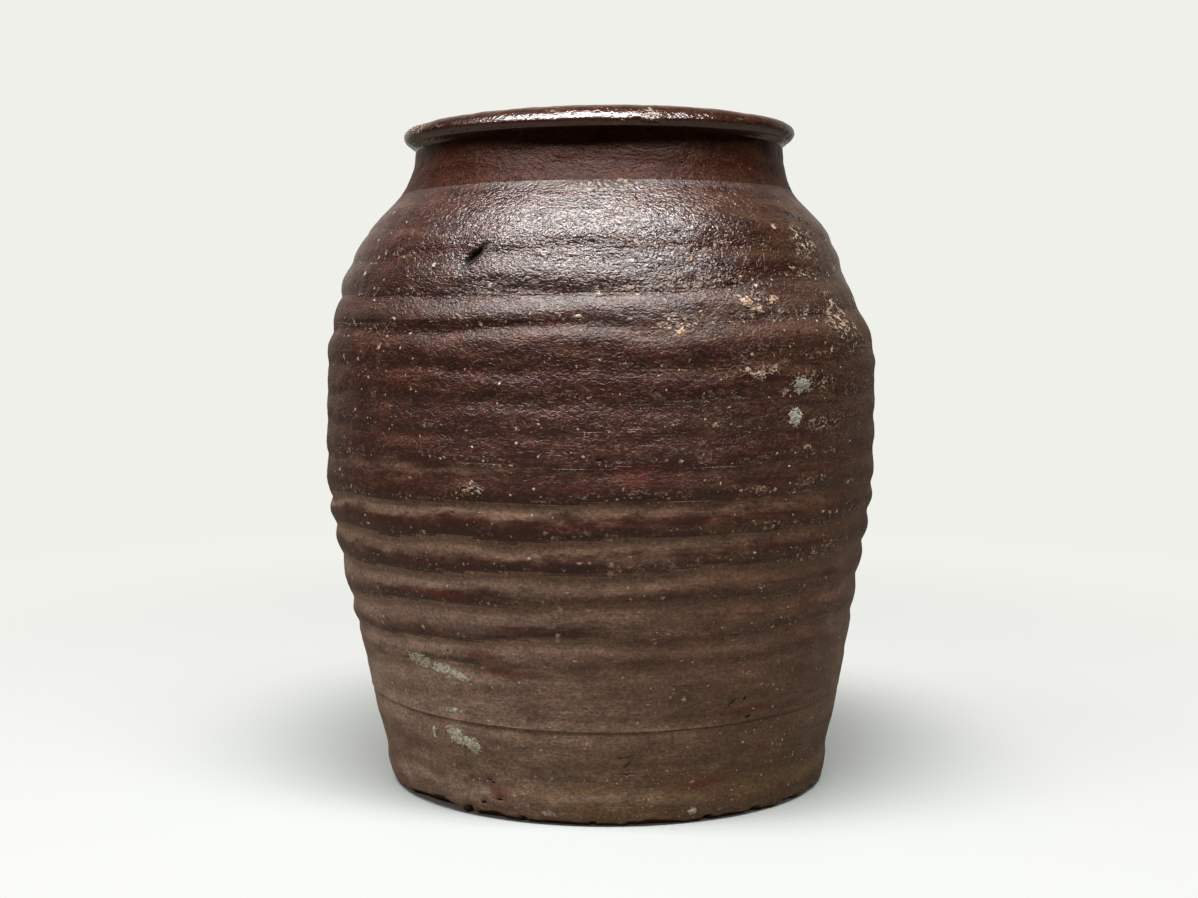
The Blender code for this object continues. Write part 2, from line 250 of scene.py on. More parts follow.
# Each course of the wall: name, height, radius at its foot, radius at its top, outline between them.
COURSES = (
    ("foot_course", FOOT_COURSE_HEIGHT, FOOT_RADIUS, HEEL_RADIUS, FOOT_OUTLINE_SHARES),
    ("lower_wall", LOWER_WALL_HEIGHT, HEEL_RADIUS, BELLY_RADIUS, LOWER_OUTLINE_SHARES),
    ("joining_band", JOINING_BAND_HEIGHT, BELLY_RADIUS, SHOULDER_RADIUS, BAND_OUTLINE_SHARES),
    ("shoulder_wall", SHOULDER_HEIGHT, SHOULDER_RADIUS, NECK_BASE_RADIUS, SHOULDER_OUTLINE_SHARES),
    ("neck_collar", NECK_HEIGHT, NECK_BASE_RADIUS, NECK_RADIUS, NECK_OUTLINE_SHARES),
    ("rim_roll", RIM_HEIGHT, NECK_RADIUS, NECK_RADIUS, ()),
)
JAR_HEIGHT = sum(course[1] for course in COURSES)
ANGLES = math.tau * (np.arange(SEGMENTS) / SEGMENTS - 0.5)

# Marks on the wall, by kind. Each: angle in degrees, height, half length and half height in millimetres,
# tilt in degrees, and how far it stands out (or is sunk, if negative) in millimetres.
MARKS = {
    "mortar": (
        (41, 181, 5, 3.6, 0, 0.25), (39, 168, 4.2, 3.8, 0, 0.25), (-43.5, 66, 7, 3, -10, 0.2),
        (-37, 63.5, 7.5, 2.6, -12, 0.2), (-32.5, 61.5, 5, 2, -25, 0.2), (-36, 46, 5, 1.2, 0, 0.05),
        (-43, 34, 1.6, 3.2, 10, 0.1), (-35.5, 34.5, 6.5, 3.4, -28, 0.2), (-31.5, 31.5, 4, 3.4, -40, 0.15),
        (-14, 5, 3.5, 1, 0, 0.05), (20, 5, 2.2, 1.8, 0, 0.1), (165, 120, 9, 4, -8, 0.2),
        (-128, 58, 7, 3.4, 14, 0.2), (118, 30, 8, 4, 20, 0.2), (-28, 229.6, 1.8, 0.9, 42, -0.3),
    ),
    "tan": (
        (30, 214.5, 3.2, 2.4, -30, 0.6), (32.5, 211.5, 2, 2.6, 10, 0.6),
        (36.5, 215.5, 2.6, 1.6, 20, 0.45), (56, 214.5, 3, 1.8, 30, 0.55),
        (60.5, 211, 2.6, 1.6, -20, 0.55), (57.5, 207, 2.8, 1.3, 10, 0.45), (62.5, 205, 1.8, 2, 0, 0.45),
        (59.5, 201, 1.6, 1.2, 0, 0.35), (15, 203, 2.6, 1.3, 10, 0.4), (27.8, 187.5, 2.6, 1.3, -35, 0.55),
        (30.2, 185.2, 2.8, 1.4, -15, 0.6), (33.6, 187, 2.4, 0.8, 35, 0.5),
        (37, 178.5, 2.6, 0.8, 30, 0.35), (42.5, 156, 2, 1, 0, 0.35), (-25, 140, 3, 1.3, 35, 0.4),
        (-24, 142, 1.3, 1.8, 0, 0.35), (-22.5, 139.3, 1.6, 0.8, -30, 0.3), (-64, 144, 1.6, 1, 0, 0.25),
        (47, 112, 1.8, 1.2, 0, 0.25), (2, 107, 1.4, 1.4, 0, 0.25), (33, 99, 1.3, 1.4, 0, 0.3),
        (-8, 92, 0.9, 1.5, 10, 0.3), (-2.5, 92, 0.8, 1.6, -15, 0.3), (-4.5, 35, 1.5, 1.1, 10, 0.2),
        (-47.5, 197, 1.2, 1.2, 0, 0.3), (-29, 225, 1.5, 0.9, 40, 0.3), (44, 246, 1.4, 1, 0, 0.4),
        (20, 232, 1.8, 0.9, 30, 0.3), (46, 229, 2, 0.9, -20, 0.3), (126, 222, 3, 1.6, 20, 0.5),
        (133, 196, 2.4, 1.4, -30, 0.45), (-150, 133, 2.6, 1.3, 15, 0.4), (-112, 176, 2.2, 1.2, -10, 0.35),
    ),
    "pit": (
        (-25.8, 233.3, 6, 1.9, 42, -2.4), (-23.4, 238, 3, 0.8, 30, -0.6), (53, 252, 2.6, 1.4, -20, -0.9),
        (57, 250, 2.2, 1.2, 10, -0.8), (60, 248.5, 2, 1.4, -30, -0.7), (18, 243, 2.4, 0.6, 8, -0.3),
        (0, 152.5, 2.4, 0.7, 5, -0.45), (4.5, 152, 2.8, 0.6, -4, -0.4), (28, 50.5, 2.8, 0.5, 40, -0.4),
        (31.5, 52, 1.4, 0.6, 45, -0.35), (33, 44, 2.6, 0.6, 15, -0.4), (-28, 16.5, 2.6, 0.7, -28, -0.45),
        (-26, 9, 3.2, 0.5, -5, -0.35), (-30.5, 7, 1.6, 1, 0, -0.4), (47, 62, 1.6, 0.4, 20, -0.3),
        (140, 240, 3.6, 1.2, -35, -0.8), (-100, 210, 2.4, 1, 25, -0.6), (176, 88, 3, 0.9, 5, -0.45),
        (-74, 295.5, 1.4, 1.2, 0, -0.6), (-50, 292.5, 2.4, 0.9, 0, -0.4), (42, 292.5, 1.6, 0.8, 0, -0.3),
    ),
    "rust": (
        (14.5, 37, 0.9, 3.6, 0, 0), (-33, 95.5, 17, 2.4, -3, 0), (-18, 83, 10, 2, -3, 0),
        (-27, 71.5, 11, 2.4, -3, 0), (6, 148, 11, 4, 0, 0), (-20, 64, 16, 2.6, -3, 0),
        (33, 47, 14, 2.2, 6, 0), (22, 17, 16, 3, 6, 0), (-26, 12, 6, 4.5, -10, 0), (160, 60, 18, 5, 4, 0),
        (-120, 105, 16, 4, -4, 0),
    ),
    "crust": (
        (57, 208, 13, 13, 0, 0), (55, 240, 12, 8, 0, 0), (32, 214, 9, 5, 0, 0), (32, 186, 8, 3, 10, 0),
        (45, 183, 16, 4, 0, 0), (47, 165, 14, 3, 0, 0), (-24, 140, 6, 3, 0, 0), (15, 205, 8, 4, 0, 0),
        (2, 262.5, 18, 2.4, 0, 0), (14, 291, 6.5, 3, 0, 0.3), (-66, 293, 12, 4, 0, 0.1),
        (130, 210, 14, 12, 0, 0), (-145, 180, 16, 6, 0, 0),
    ),
}

# Fine lines on the wall, dark cracks and pale scratches. Each: angle in degrees and height in millimetres of
# both ends, and half the width in millimetres.
LINES = {
    "crack": (
        (2, 29.6, 5.6, 30.3, 1.8), (5.2, 28.4, 3.8, 25.2, 2), (2.6, 22.9, 6.8, 22.4, 1.7),
        (-33.5, 89.6, -26, 89.2, 0.35), (-31, 100.6, -22, 100.4, 0.3), (-44, 94, -39, 93, 0.25),
        (-15, 51.5, 8, 50.6, 0.22), (8, 50.6, 33, 52.3, 0.24), (-27.5, 236.6, -24, 238.2, 0.35),
        (26, 48, 29.5, 52, 0.5), (150, 70, 163, 70.8, 0.3), (-140, 160, -131, 159, 0.3),
    ),
    "scratch": (
        (-76, 208.6, -60, 207.2, 0.4), (-60, 207.2, -47, 206.6, 0.3), (-72, 196, -58, 195.6, 0.22),
        (24, 213, 20, 207, 0.2), (52, 131, 54, 128, 0.3), (-47, 201, -44, 196.5, 0.22),
        (-3, 118, 1, 117, 0.22),
    ),
}

# How far beside and beyond a line a point counts that is near none.
FAR = 9.0

# Chips along the worn lower edge of the foot: angle and half width in degrees, height in millimetres.
FOOT_CHIPS = (
    (-50, 15, 4.6), (-46, 4, 5.4), (-36, 2.2, 4.4), (-30, 6, 3), (-21, 1.4, 3.2), (-12, 6, 2.2),
    (-4, 1.2, 2.8), (5, 1.6, 2.6), (12, 2, 2.4), (24, 1.6, 3), (38, 3, 2.6), (52, 5, 2.8), (64, 2, 3.2),
    (98, 4, 2.6), (131, 6, 2.4), (170, 3, 3), (-93, 4, 3), (-127, 7, 2.6), (-152, 3, 3.2),
)

# Dents and worn spots along the rim: angle and half width in degrees, and how deep, in millimetres.
RIM_DENTS = (
    (-62, 9, 0.55), (-78, 3, 0.7), (-40, 5, 0.25), (-14, 7, 0.15), (14, 3, 0.25), (47, 6, 0.3),
    (83, 4, 0.35), (112, 9, 0.45), (150, 5, 0.3), (-118, 6, 0.5), (-160, 10, 0.25),
)


def smooth_step(low, high, value):
    """0 below low, 1 above high and a smooth change between them; low may be the larger one."""
    t = np.clip((np.asarray(value, float) - low) / (high - low), 0, 1)
    return t * t * (3 - 2 * t)


def curve_through(points):
    """A function that runs smoothly through points, each a place and a value."""
    places, values = (np.array(column, float) for column in zip(*points))
    inside = np.arange(len(places))
    before, after = np.maximum(inside - 1, 0), np.minimum(inside + 1, len(places) - 1)
    slopes = (values[after] - values[before]) / (places[after] - places[before])

    def value_at(place):
        place = np.clip(place, places[0], places[-1])
        index = np.clip(np.searchsorted(places, place) - 1, 0, len(places) - 2)
        span = places[index + 1] - places[index]
        t = (place - places[index]) / span
        rise = values[index + 1] - values[index]
        start, end = slopes[index] * span, slopes[index + 1] * span
        return values[index] + t * (start + t * (3 * rise - 2 * start - end + t * (start + end - 2 * rise)))

    return value_at


def share_curve(shares, size):
    """A function of height, from shares of the jar's height and shares of size."""
    return curve_through([(JAR_HEIGHT * place, size * value) for place, value in shares])


def seam_heights():
    """Height of each piece's top seam at the front of the jar, by the piece's name."""
    heights, top = {}, 0.0
    for name, height, *_ in COURSES:
        top += height
        heights[name] = top
    return heights


def outline_points():
    """Heights and outer radii of the wall, from the ground to the top of the neck."""
    points, low = [(0.0, FOOT_RADIUS)], 0.0
    for _, height, low_radius, high_radius, shares in COURSES[:-1]:
        for height_share, radius_share in shares:
            radius = low_radius + (high_radius - low_radius) * radius_share
            points.append((low + height * height_share, radius))
        low += height
        points.append((low, high_radius))
    return points


SEAMS = seam_heights()
WALL_TOP = SEAMS["neck_collar"]
wall_radius = curve_through(outline_points())
wall_thickness = curve_through((
    (0.0, HEEL_WALL),
    (SEAMS["foot_course"], BODY_WALL),
    (SEAMS["shoulder_wall"], BODY_WALL),
    (WALL_TOP, NECK_WALL),
))
drift_at = share_curve(DRIFT_SHARES, AXIS_DRIFT)
ring_depth_at = share_curve(RING_DEPTH_SHARES, RING_DEPTH)
oval_at = share_curve(OVAL_SHARES, FOOT_OVAL)
lean_at = share_curve(LEAN_SHARES, MOUTH_LEAN)


class Noise:
    """Smooth seeded noise from -1 to 1 on a lattice in space, so that it has no seam round the jar."""

    CELLS = 32
    SHIFT = 7.3
    LAYER_SHIFT = 0.37

    def __init__(self, seed):
        self.lattice = np.random.default_rng(seed).uniform(-1, 1, (self.CELLS,) * 3)

    def __call__(self, points, across, up):
        """Noise at points whose lumps measure across sideways and up in height."""
        scaled = points / np.array((across, across, up)) + self.SHIFT
        cell = np.floor(scaled).astype(int)
        t = scaled - cell
        t = t * t * (3 - 2 * t)
        total = np.zeros(points.shape[:-1])
        for corner in np.ndindex(2, 2, 2):
            weight = np.prod(np.where(corner, t, 1 - t), axis=-1)
            x, y, z = np.moveaxis((cell + corner) % self.CELLS, -1, 0)
            total += weight * self.lattice[x, y, z]
        return total

    def layered(self, points, across, up, layers):
        """Several layers of noise, each half as large and half as strong as the one before."""
        total, share = 0.0, 1.0
        for layer in range(layers):
            total = total + share * self(points + self.LAYER_SHIFT * layer, across * share, up * share)
            share /= 2
        return total


wobble, lumps, streaks, wear = (Noise(seed) for seed in (11, 12, 13, 14))


def points_round(angle, radius, height):
    """Points round the upright axis, for noise."""
    coordinates = np.broadcast_arrays(radius * np.sin(angle), -radius * np.cos(angle), height)
    return np.stack(coordinates, axis=-1)


def mean_points(angle, height):
    """Points of the mean wall."""
    return points_round(angle, wall_radius(height), height)


def ring_turn(angle, height):
    """How many turns of the ring groove lie below a point of the wall."""
    sag = np.interp(height, *zip(*RING_SAGS)) * (1 - np.cos(2 * angle))
    level = height - sag - np.interp(height, *zip(*RING_TILTS)) * np.sin(angle)
    first, last = FRONT_GROOVES[0], FRONT_GROOVES[-1]
    front = np.interp(level, FRONT_GROOVES, np.arange(len(FRONT_GROOVES)))
    front = front + (np.minimum(level - first, 0) + np.maximum(level - last, 0)) / RING_PITCH
    turn = front
    for degrees, grooves in EDGE_GROOVES:
        turns = EDGE_FIRST_TURN + np.arange(len(grooves)) + degrees / 360
        share = smooth_step(*EDGE_FADE, np.abs(turned_distance(angle, degrees)))
        turn = turn * (1 - share) + np.interp(height, grooves, turns) * share
    drift = RING_DRIFT_TURNS * wobble(mean_points(angle, height), *RING_DRIFT_LUMPS)
    return turn - angle / math.tau + drift


def ring_relief(angle, height, turn):
    """How far the throwing rings stand out from the mean wall."""
    points = mean_points(angle, height)
    depth = ring_depth_at(height) * (1 + RING_SWING_SHARE * wobble(points, *RING_SWING_LUMPS))
    front_depth = np.interp(height, *zip(*FRONT_DEPTH_SHARES))
    depth = depth * (front_depth + (1 - front_depth) * np.sin(angle) ** 2)
    soft = SOFT_GROOVE_SHARE * smooth_step(*SOFT_FROM, np.abs(turned_distance(angle, SOFT_MIDDLE)))
    swell = np.sqrt(np.sin(math.pi * turn) ** 2 + soft**2)
    return depth * (swell - 2 / math.pi)


def seam_height(name, angle):
    """Height of a piece's top seam, which rises a little towards the sides."""
    return SEAMS[name] + SEAM_SAG * SEAM_SAG_SHARES.get(name, 0.0) * (1 - np.cos(2 * angle))


def turned_distance(angle, degrees):
    """Angle from a place given in degrees, the short way round."""
    return (angle - math.radians(degrees) + math.pi) % math.tau - math.pi


def mark_fields(angle, height):
    """For each kind of mark, 1 in its middle, 0 on its outline and below 0 outside; and all marks' relief."""
    fields = {kind: np.full(height.shape, -1.0) for kind in MARKS}
    relief = np.zeros(height.shape)
    radius = wall_radius(height)
    for kind, marks in MARKS.items():
        for degrees, mark_height, half_length, half_height, tilt, rise in marks:
            across = radius * turned_distance(angle, degrees) / MM
            up = (height - mark_height * MM) / MM
            cosine, sine = math.cos(math.radians(tilt)), math.sin(math.radians(tilt))
            along = (across * cosine + up * sine) / half_length
            over = (up * cosine - across * sine) / half_height
            inside = 1 - np.hypot(along, over)
            fields[kind] = np.maximum(fields[kind], inside)
            relief += rise * MM * smooth_step(-0.1, 0.6, inside)
    return fields, relief


def line_fields(angle, height, lines):
    """How far beside the nearest of these lines a point is, in half widths, and how far beyond its end."""
    beside = np.full(height.shape, FAR)
    beyond = np.full(height.shape, FAR)
    nearest = np.full(height.shape, FAR**2)
    radius = wall_radius(height)
    for first_degrees, first_height, last_degrees, last_height, half_width in lines:
        middle = (first_degrees + last_degrees) / 2
        middle_height = (first_height + last_height) / 2
        around = math.radians(last_degrees - first_degrees) * float(wall_radius(middle_height * MM)) / MM
        climb = last_height - first_height
        half = math.hypot(around, climb) / 2
        across = radius * turned_distance(angle, middle) / MM
        up = height / MM - middle_height
        along = (across * around + up * climb) / (2 * half)
        over = (up * around - across * climb) / (2 * half)
        past = np.abs(along) - half
        distance = over**2 + np.maximum(past, 0) ** 2
        closer = distance < nearest
        nearest = np.where(closer, distance, nearest)
        beside = np.where(closer, over / half_width, beside)
        beyond = np.where(closer, past, beyond)
    return beside, beyond


def foot_bevel(angle):
    """Height of the worn lower edge of the foot."""
    around = np.stack((np.sin(angle), np.cos(angle), np.zeros_like(angle)), axis=-1) * FOOT_RADIUS
    ragged = wear.layered(around, *FOOT_EDGE_LUMPS, 3)
    bevel = FOOT_EDGE_ROUND * (1 + FOOT_EDGE_SWING_SHARE * ragged)
    for degrees, half_width, chip in FOOT_CHIPS:
        inside = 1 - np.abs(turned_distance(angle, degrees)) / math.radians(half_width)
        height = chip * MM * (1 + CHIP_SWING_SHARE * ragged)
        bevel = np.maximum(bevel, height * smooth_step(0, 0.55, inside))
    return bevel


def left_facing(angle):
    """1 at the left flank, -1 opposite."""
    return np.cos(turned_distance(angle, LEFT_MIDDLE))


def seam_relief(angle, height, points):
    """The foot course's seam: a low lip above it and a groove below."""
    over = height - seam_height("foot_course", angle)
    lip = (LIP_DEPTH + LIP_DEPTH_SWING * left_facing(angle)) * MM
    lip = lip * (1 + LIP_SWING_SHARE * wobble(points, *LIP_LUMPS))
    reach = np.where(over > 0, LIP_HEIGHT, LIP_GROOVE_HEIGHT)
    return np.where(over > 0, lip, -LIP_GROOVE_SHARE * lip) * np.exp(-np.abs(over) / reach)


def wall_section(angle, height):
    """Outer radius with all its relief, and what the finish needs to know about each point."""
    points = mean_points(angle, height)
    turn = ring_turn(angle, height)
    overlap = SLIP_OVERLAP_TURNS * smooth_step(*SLIP_OVERLAP_UP_TO, height)
    phase = (turn - overlap) % 1
    fields, mark_relief = mark_fields(angle, height)
    relief = ring_relief(angle, height, turn) + mark_relief
    low_depth, high_depth = LUMP_DEPTHS
    lump_depth = low_depth + (high_depth - low_depth) * smooth_step(*LUMPIER_BETWEEN, height)
    relief += lump_depth * MM * lumps.layered(points, *LUMPS, 2)
    relief += STREAK_DEPTH * MM * streaks.layered(points, *STREAKS, 2)
    relief += seam_relief(angle, height, points)
    bevel = foot_bevel(angle)
    over_bevel = np.clip(1 - height / bevel, 0, 1)
    relief -= FOOT_EDGE_DEPTH_SHARE * bevel * (1 - (1 - over_bevel) ** 4)
    radius = wall_radius(height) + relief + oval_at(height) * np.cos(angle) ** 2
    looks = {
        "phase": phase,
        "ring": ring_depth_at(height) / RING_DEPTH,
        "left": 0.5 + 0.5 * left_facing(angle),
        "edge": smooth_step(1.0, 2.4, bevel / MM) * smooth_step(2.2, 1.2, height / bevel),
        **fields,
    }
    for kind, lines in LINES.items():
        looks[kind], looks[kind + "_end"] = line_fields(angle, height, lines)
    return radius, looks


def inner_radius(height):
    """Radius of the inner face, so that the wall keeps its thickness where it slants."""
    low, high = height - SLOPE_REACH, height + SLOPE_REACH
    slope = (wall_radius(high) - wall_radius(low)) / (high - low)
    return wall_radius(height) - wall_thickness(height) * np.hypot(1, slope)


def inner_section(angle, height):
    """Inner radius with the potter's finger ridges, which run finer and lower than outside."""
    turn = height / INNER_RIDGE_PITCH - angle / math.tau
    low, high = INNER_RIDGES_BETWEEN
    fade = smooth_step(cove_top(), low, height) * smooth_step(WALL_TOP, high, height)
    ridges = INNER_RIDGE_DEPTH * MM * fade * (np.abs(np.sin(math.pi * turn)) - 2 / math.pi)
    uneven = INNER_LUMP_DEPTH * MM * fade * lumps.layered(mean_points(angle, height) + 0.5, *INNER_LUMPS, 2)
    return inner_radius(height) - ridges + uneven


def place(angle, radius, height):
    """World position of a point of the jar, with the axis drift and the leaning mouth."""
    right = drift_at(height) + radius * np.sin(angle)
    rise = lean_at(height) * right / (2 * NECK_RADIUS)
    points = np.stack(np.broadcast_arrays(right, -radius * np.cos(angle), height + rise), axis=-1)
    return np.clip(points, CAD_LOW, CAD_HIGH)


def rows_between(low, high, spacing):
    """Heights of rows from low to high, which may differ round the jar, as one row of the array each."""
    count = max(2, round(float(np.max(high - low)) / spacing))
    shares = np.linspace(0, 1, count + 1)[:, None]
    return low + (high - low) * shares


def wall_rows(low, high):
    """Heights of rows of the outer wall between two seams, closer together beside them for even shading."""
    beside = np.array(SEAM_ROWS)[:, None]
    between = rows_between(low + SEAM_ROWS[-1], high - SEAM_ROWS[-1], OUTER_ROW)
    return np.concatenate((low + beside[:-1], between, high - beside[-2::-1]))


class Section:
    """Rows of points round a piece, in order round its section, with the looks of each point."""

    ABSENT = {"phase": 0.0, "ring": 0.0, "left": 0.0, "edge": 0.0, **dict.fromkeys(MARKS, -1.0)}
    ABSENT.update(dict.fromkeys(("crack", "crack_end", "scratch", "scratch_end"), FAR))

    def __init__(self):
        self.rows, self.looks = [], {name: [] for name in (*self.ABSENT, "inside", "level")}

    def add(self, radius, height, inside, looks=None):
        """Add rows, from arrays of radii and heights with a column for each angle."""
        radius, height, angle = np.broadcast_arrays(np.atleast_2d(radius), np.atleast_2d(height), ANGLES)
        self.rows.append(place(angle, radius, height))
        for name, values in {**(looks or self.ABSENT), "inside": inside, "level": height}.items():
            self.looks[name].append(np.broadcast_to(values, height.shape))

    def add_wall(self, heights):
        """Add rows of the outer wall at these heights."""
        radius, looks = wall_section(ANGLES, heights)
        self.add(radius, heights, 0.0, looks)


def grid_faces(rows, columns, closed):
    """Corners of the faces of a grid that runs round its columns, and round its rows if closed."""
    index = np.arange(rows * columns).reshape(rows, columns)
    above = np.roll(index, -1, axis=0)
    if not closed:
        index, above = index[:-1], above[:-1]
    corners = (index, np.roll(index, -1, axis=1), np.roll(above, -1, axis=1), above)
    return np.stack(corners, axis=-1).reshape(-1, 4)


def mesh_from(name, points, quads, triangles):
    """A mesh from arrays of points and of four-sided and three-sided faces."""
    mesh = bpy.data.meshes.new(name)
    mesh.vertices.add(len(points))
    mesh.vertices.foreach_set("co", points.astype(np.float32).ravel())
    corners = np.concatenate((quads.ravel(), triangles.ravel())).astype(np.int32)
    mesh.loops.add(len(corners))
    mesh.loops.foreach_set("vertex_index", corners)
    sizes = np.concatenate((np.full(len(quads), 4), np.full(len(triangles), 3)))
    mesh.polygons.add(len(sizes))
    mesh.polygons.foreach_set("loop_start", (np.cumsum(sizes) - sizes).astype(np.int32))
    mesh.update(calc_edges=True)
    mesh.validate()
    mesh.shade_smooth()
    return mesh


def add_piece(name, section, poles, material):
    """A closed piece from its section. With poles, its first and last rows are points on the axis."""
    rows = np.concatenate(section.rows)
    count, columns = rows.shape[:2]
    points = rows.reshape(-1, 3)
    quads = grid_faces(count, columns, closed=not poles)
    triangles = np.zeros((0, 3), int)
    looks = {key: np.concatenate(values).ravel() for key, values in section.looks.items()}
    if poles:
        middle = np.arange(columns)
        following = np.roll(middle, -1)
        last = (count - 1) * columns
        low, high = len(points), len(points) + 1
        points = np.concatenate((points, rows[:1].mean(axis=1), rows[-1:].mean(axis=1)))
        under = np.stack((np.full(columns, low), following, middle), axis=-1)
        over = np.stack((last + middle, last + following, np.full(columns, high)), axis=-1)
        triangles = np.concatenate((under, over))
        looks = {key: np.concatenate((values, values[:1], values[-1:])) for key, values in looks.items()}
    mesh = mesh_from(name, points, quads, triangles)
    for key, values in looks.items():
        attribute = mesh.attributes.new(key, "FLOAT", "POINT")
        attribute.data.foreach_set("value", values.astype(np.float32))
    mesh.set_sharp_from_angle(angle=SHARP_ANGLE)
    mesh.materials.append(material)
    piece = bpy.data.objects.new(name + "_skin", mesh)
    bpy.context.scene.collection.objects.link(piece)
    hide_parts(name)
    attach(piece, "root")
    return piece


def joint_row(section, height, inside, above=True):
    """Ridge in the middle of a joint face, which the piece above takes in a groove."""
    outer, _ = wall_section(ANGLES, np.atleast_2d(height))
    middle = (outer + inner_radius(height)) / 2
    if above:
        section.add(outer - JOINT_STEP, height - JOINT_STEP, inside)
    section.add(middle, height + JOINT_RIDGE, inside)


def add_course(name, below, material):
    """A course of the wall between two seams."""
    low, high = seam_height(below, ANGLES), seam_height(name, ANGLES)
    section = Section()
    section.add_wall(wall_rows(low, high))
    joint_row(section, high, 1.0)
    inner = rows_between(low, high, INNER_ROW)[::-1]
    section.add(inner_section(ANGLES, inner), inner, 1.0)
    joint_row(section, low, 1.0, above=False)
    return add_piece(name, section, False, material)


def cove_top():
    return FLOOR_THICKNESS + COVE_RADIUS


def seat_radius():
    """Radius of the floor's seat at the floor's top face."""
    return float(inner_radius(cove_top())) - COVE_RADIUS


def add_foot(material):
    """The first course, with its worn edge, rounded inner corner and floor seat."""
    high = seam_height("foot_course", ANGLES)
    section = Section()
    edge = np.zeros((1, SEGMENTS))
    fine = np.linspace(0, 1, FOOT_EDGE_ROWS)[1:, None] * FOOT_FINE_UP_TO + edge
    section.add_wall(np.concatenate((edge, fine, wall_rows(FOOT_FINE_UP_TO + edge[0], high))))
    joint_row(section, high, 1.0)
    inner = rows_between(cove_top() + edge[0], high, INNER_ROW)[::-1]
    section.add(inner_section(ANGLES, inner), inner, 1.0)
    turns = np.linspace(0, math.pi / 2, COVE_ROWS)[1:, None]
    cove_radius = seat_radius() + COVE_RADIUS * np.cos(turns)
    section.add(cove_radius, cove_top() - COVE_RADIUS * np.sin(turns), 1.0)
    section.add(seat_radius() - SEAT_FLARE, 0.0, 0.6)
    outer, _ = wall_section(ANGLES, edge)
    lift = GROUND_LIFT * MM * (1 + wear(mean_points(ANGLES, edge), *GROUND_LUMPS))
    for share in GROUND_SHARES:
        section.add(seat_radius() - SEAT_FLARE + (outer - seat_radius() + SEAT_FLARE) * share, lift, 0.4)
    return add_piece("foot_course", section, False, material)


def add_floor(material):
    """The floor disc, with a thumbed spiral on top and the arcs of the cutting wire underneath."""
    section = Section()
    edge = seat_radius()
    count = round(edge / FLOOR_ROW)
    radii = edge * np.linspace(0.02, 1, count)[:, None] + 0 * ANGLES
    under_radii = np.minimum(radii, edge - SEAT_FLARE) - FLOOR_NUDGE
    flat = points_round(ANGLES, radii, 0.0)
    arcs = np.hypot(flat[..., 0] - WIRE_MIDDLE[0], flat[..., 1] - WIRE_MIDDLE[1]) / WIRE_PITCH
    fade = smooth_step(edge - SEAT_FLARE, edge - 2 * SEAT_FLARE, radii)
    scrape = WIRE_DEPTH * MM * (1 - np.abs(np.sin(math.pi * arcs)))
    scrape += UNDERSIDE_DEPTH * MM * (1 + wear(flat, *UNDERSIDE_LUMPS))
    section.add(under_radii[:-1], (scrape * fade)[:-1], 0.6)
    section.add(edge - SEAT_FLARE, 0.0, 0.6)
    spiral = SPIRAL_DEPTH * (np.abs(np.sin(math.pi * (radii / SPIRAL_PITCH - ANGLES / math.tau))) - 1)
    inner_end, inner_full, outer_fade = SPIRAL_FADES
    fade = smooth_step(edge, edge - outer_fade, radii) * smooth_step(inner_end, inner_full, radii)
    top = FLOOR_THICKNESS + (spiral + SPIRAL_LUMP_DEPTH * lumps(flat + 0.3, *SPIRAL_LUMPS)) * MM * fade
    section.add(radii[::-1], top[::-1], 1.0)
    return add_piece("floor_slab", section, True, material)


def rim_outline(share, front):
    """Millimetres inwards and up along the rim's section, between the side's shape and the front's."""
    places = np.linspace(0, 1, len(RIM_FRONT_SECTION))
    blended = []
    for columns in zip(zip(*RIM_FRONT_SECTION), zip(*RIM_SIDE_SECTION)):
        at_front, at_side = (curve_through(zip(places, values))(share) for values in columns)
        blended.append(at_front * front + at_side * (1 - front))
    return blended


def rim_wear(around, shares, upper):
    """How far the rim is worn away and dented, and how deep its dents are."""
    dents = np.zeros_like(ANGLES)
    for degrees, half_width, depth in RIM_DENTS:
        inside = 1 - np.abs(turned_distance(ANGLES, degrees)) / math.radians(half_width)
        dents = np.maximum(dents, depth * MM * smooth_step(0, 0.8, inside))
    worn = RIM_WEAR * MM * (1 + wear.layered(around, *RIM_WEAR_LUMPS, 3) / 1.5)
    worn += RIM_GRAIN * MM * (1 + lumps.layered(around, *RIM_GRAIN_LUMPS, 2) / 1.3)
    worn += dents * upper * (0.6 + 0.4 * wear(around, *RIM_DENT_LUMPS))
    line = RIM_LINE_DEPTH * MM * np.exp(-((shares - RIM_LINE_SHARE) / RIM_LINE_WIDTH_SHARE) ** 2)
    return worn * rim_fade(shares) - line, dents


def rim_fade(shares):
    """0 where the rim's section meets the neck and the inner face, 1 between."""
    return smooth_step(0.0, RIM_FADE_SHARES[0], shares) * smooth_step(1.0, RIM_FADE_SHARES[1], shares)


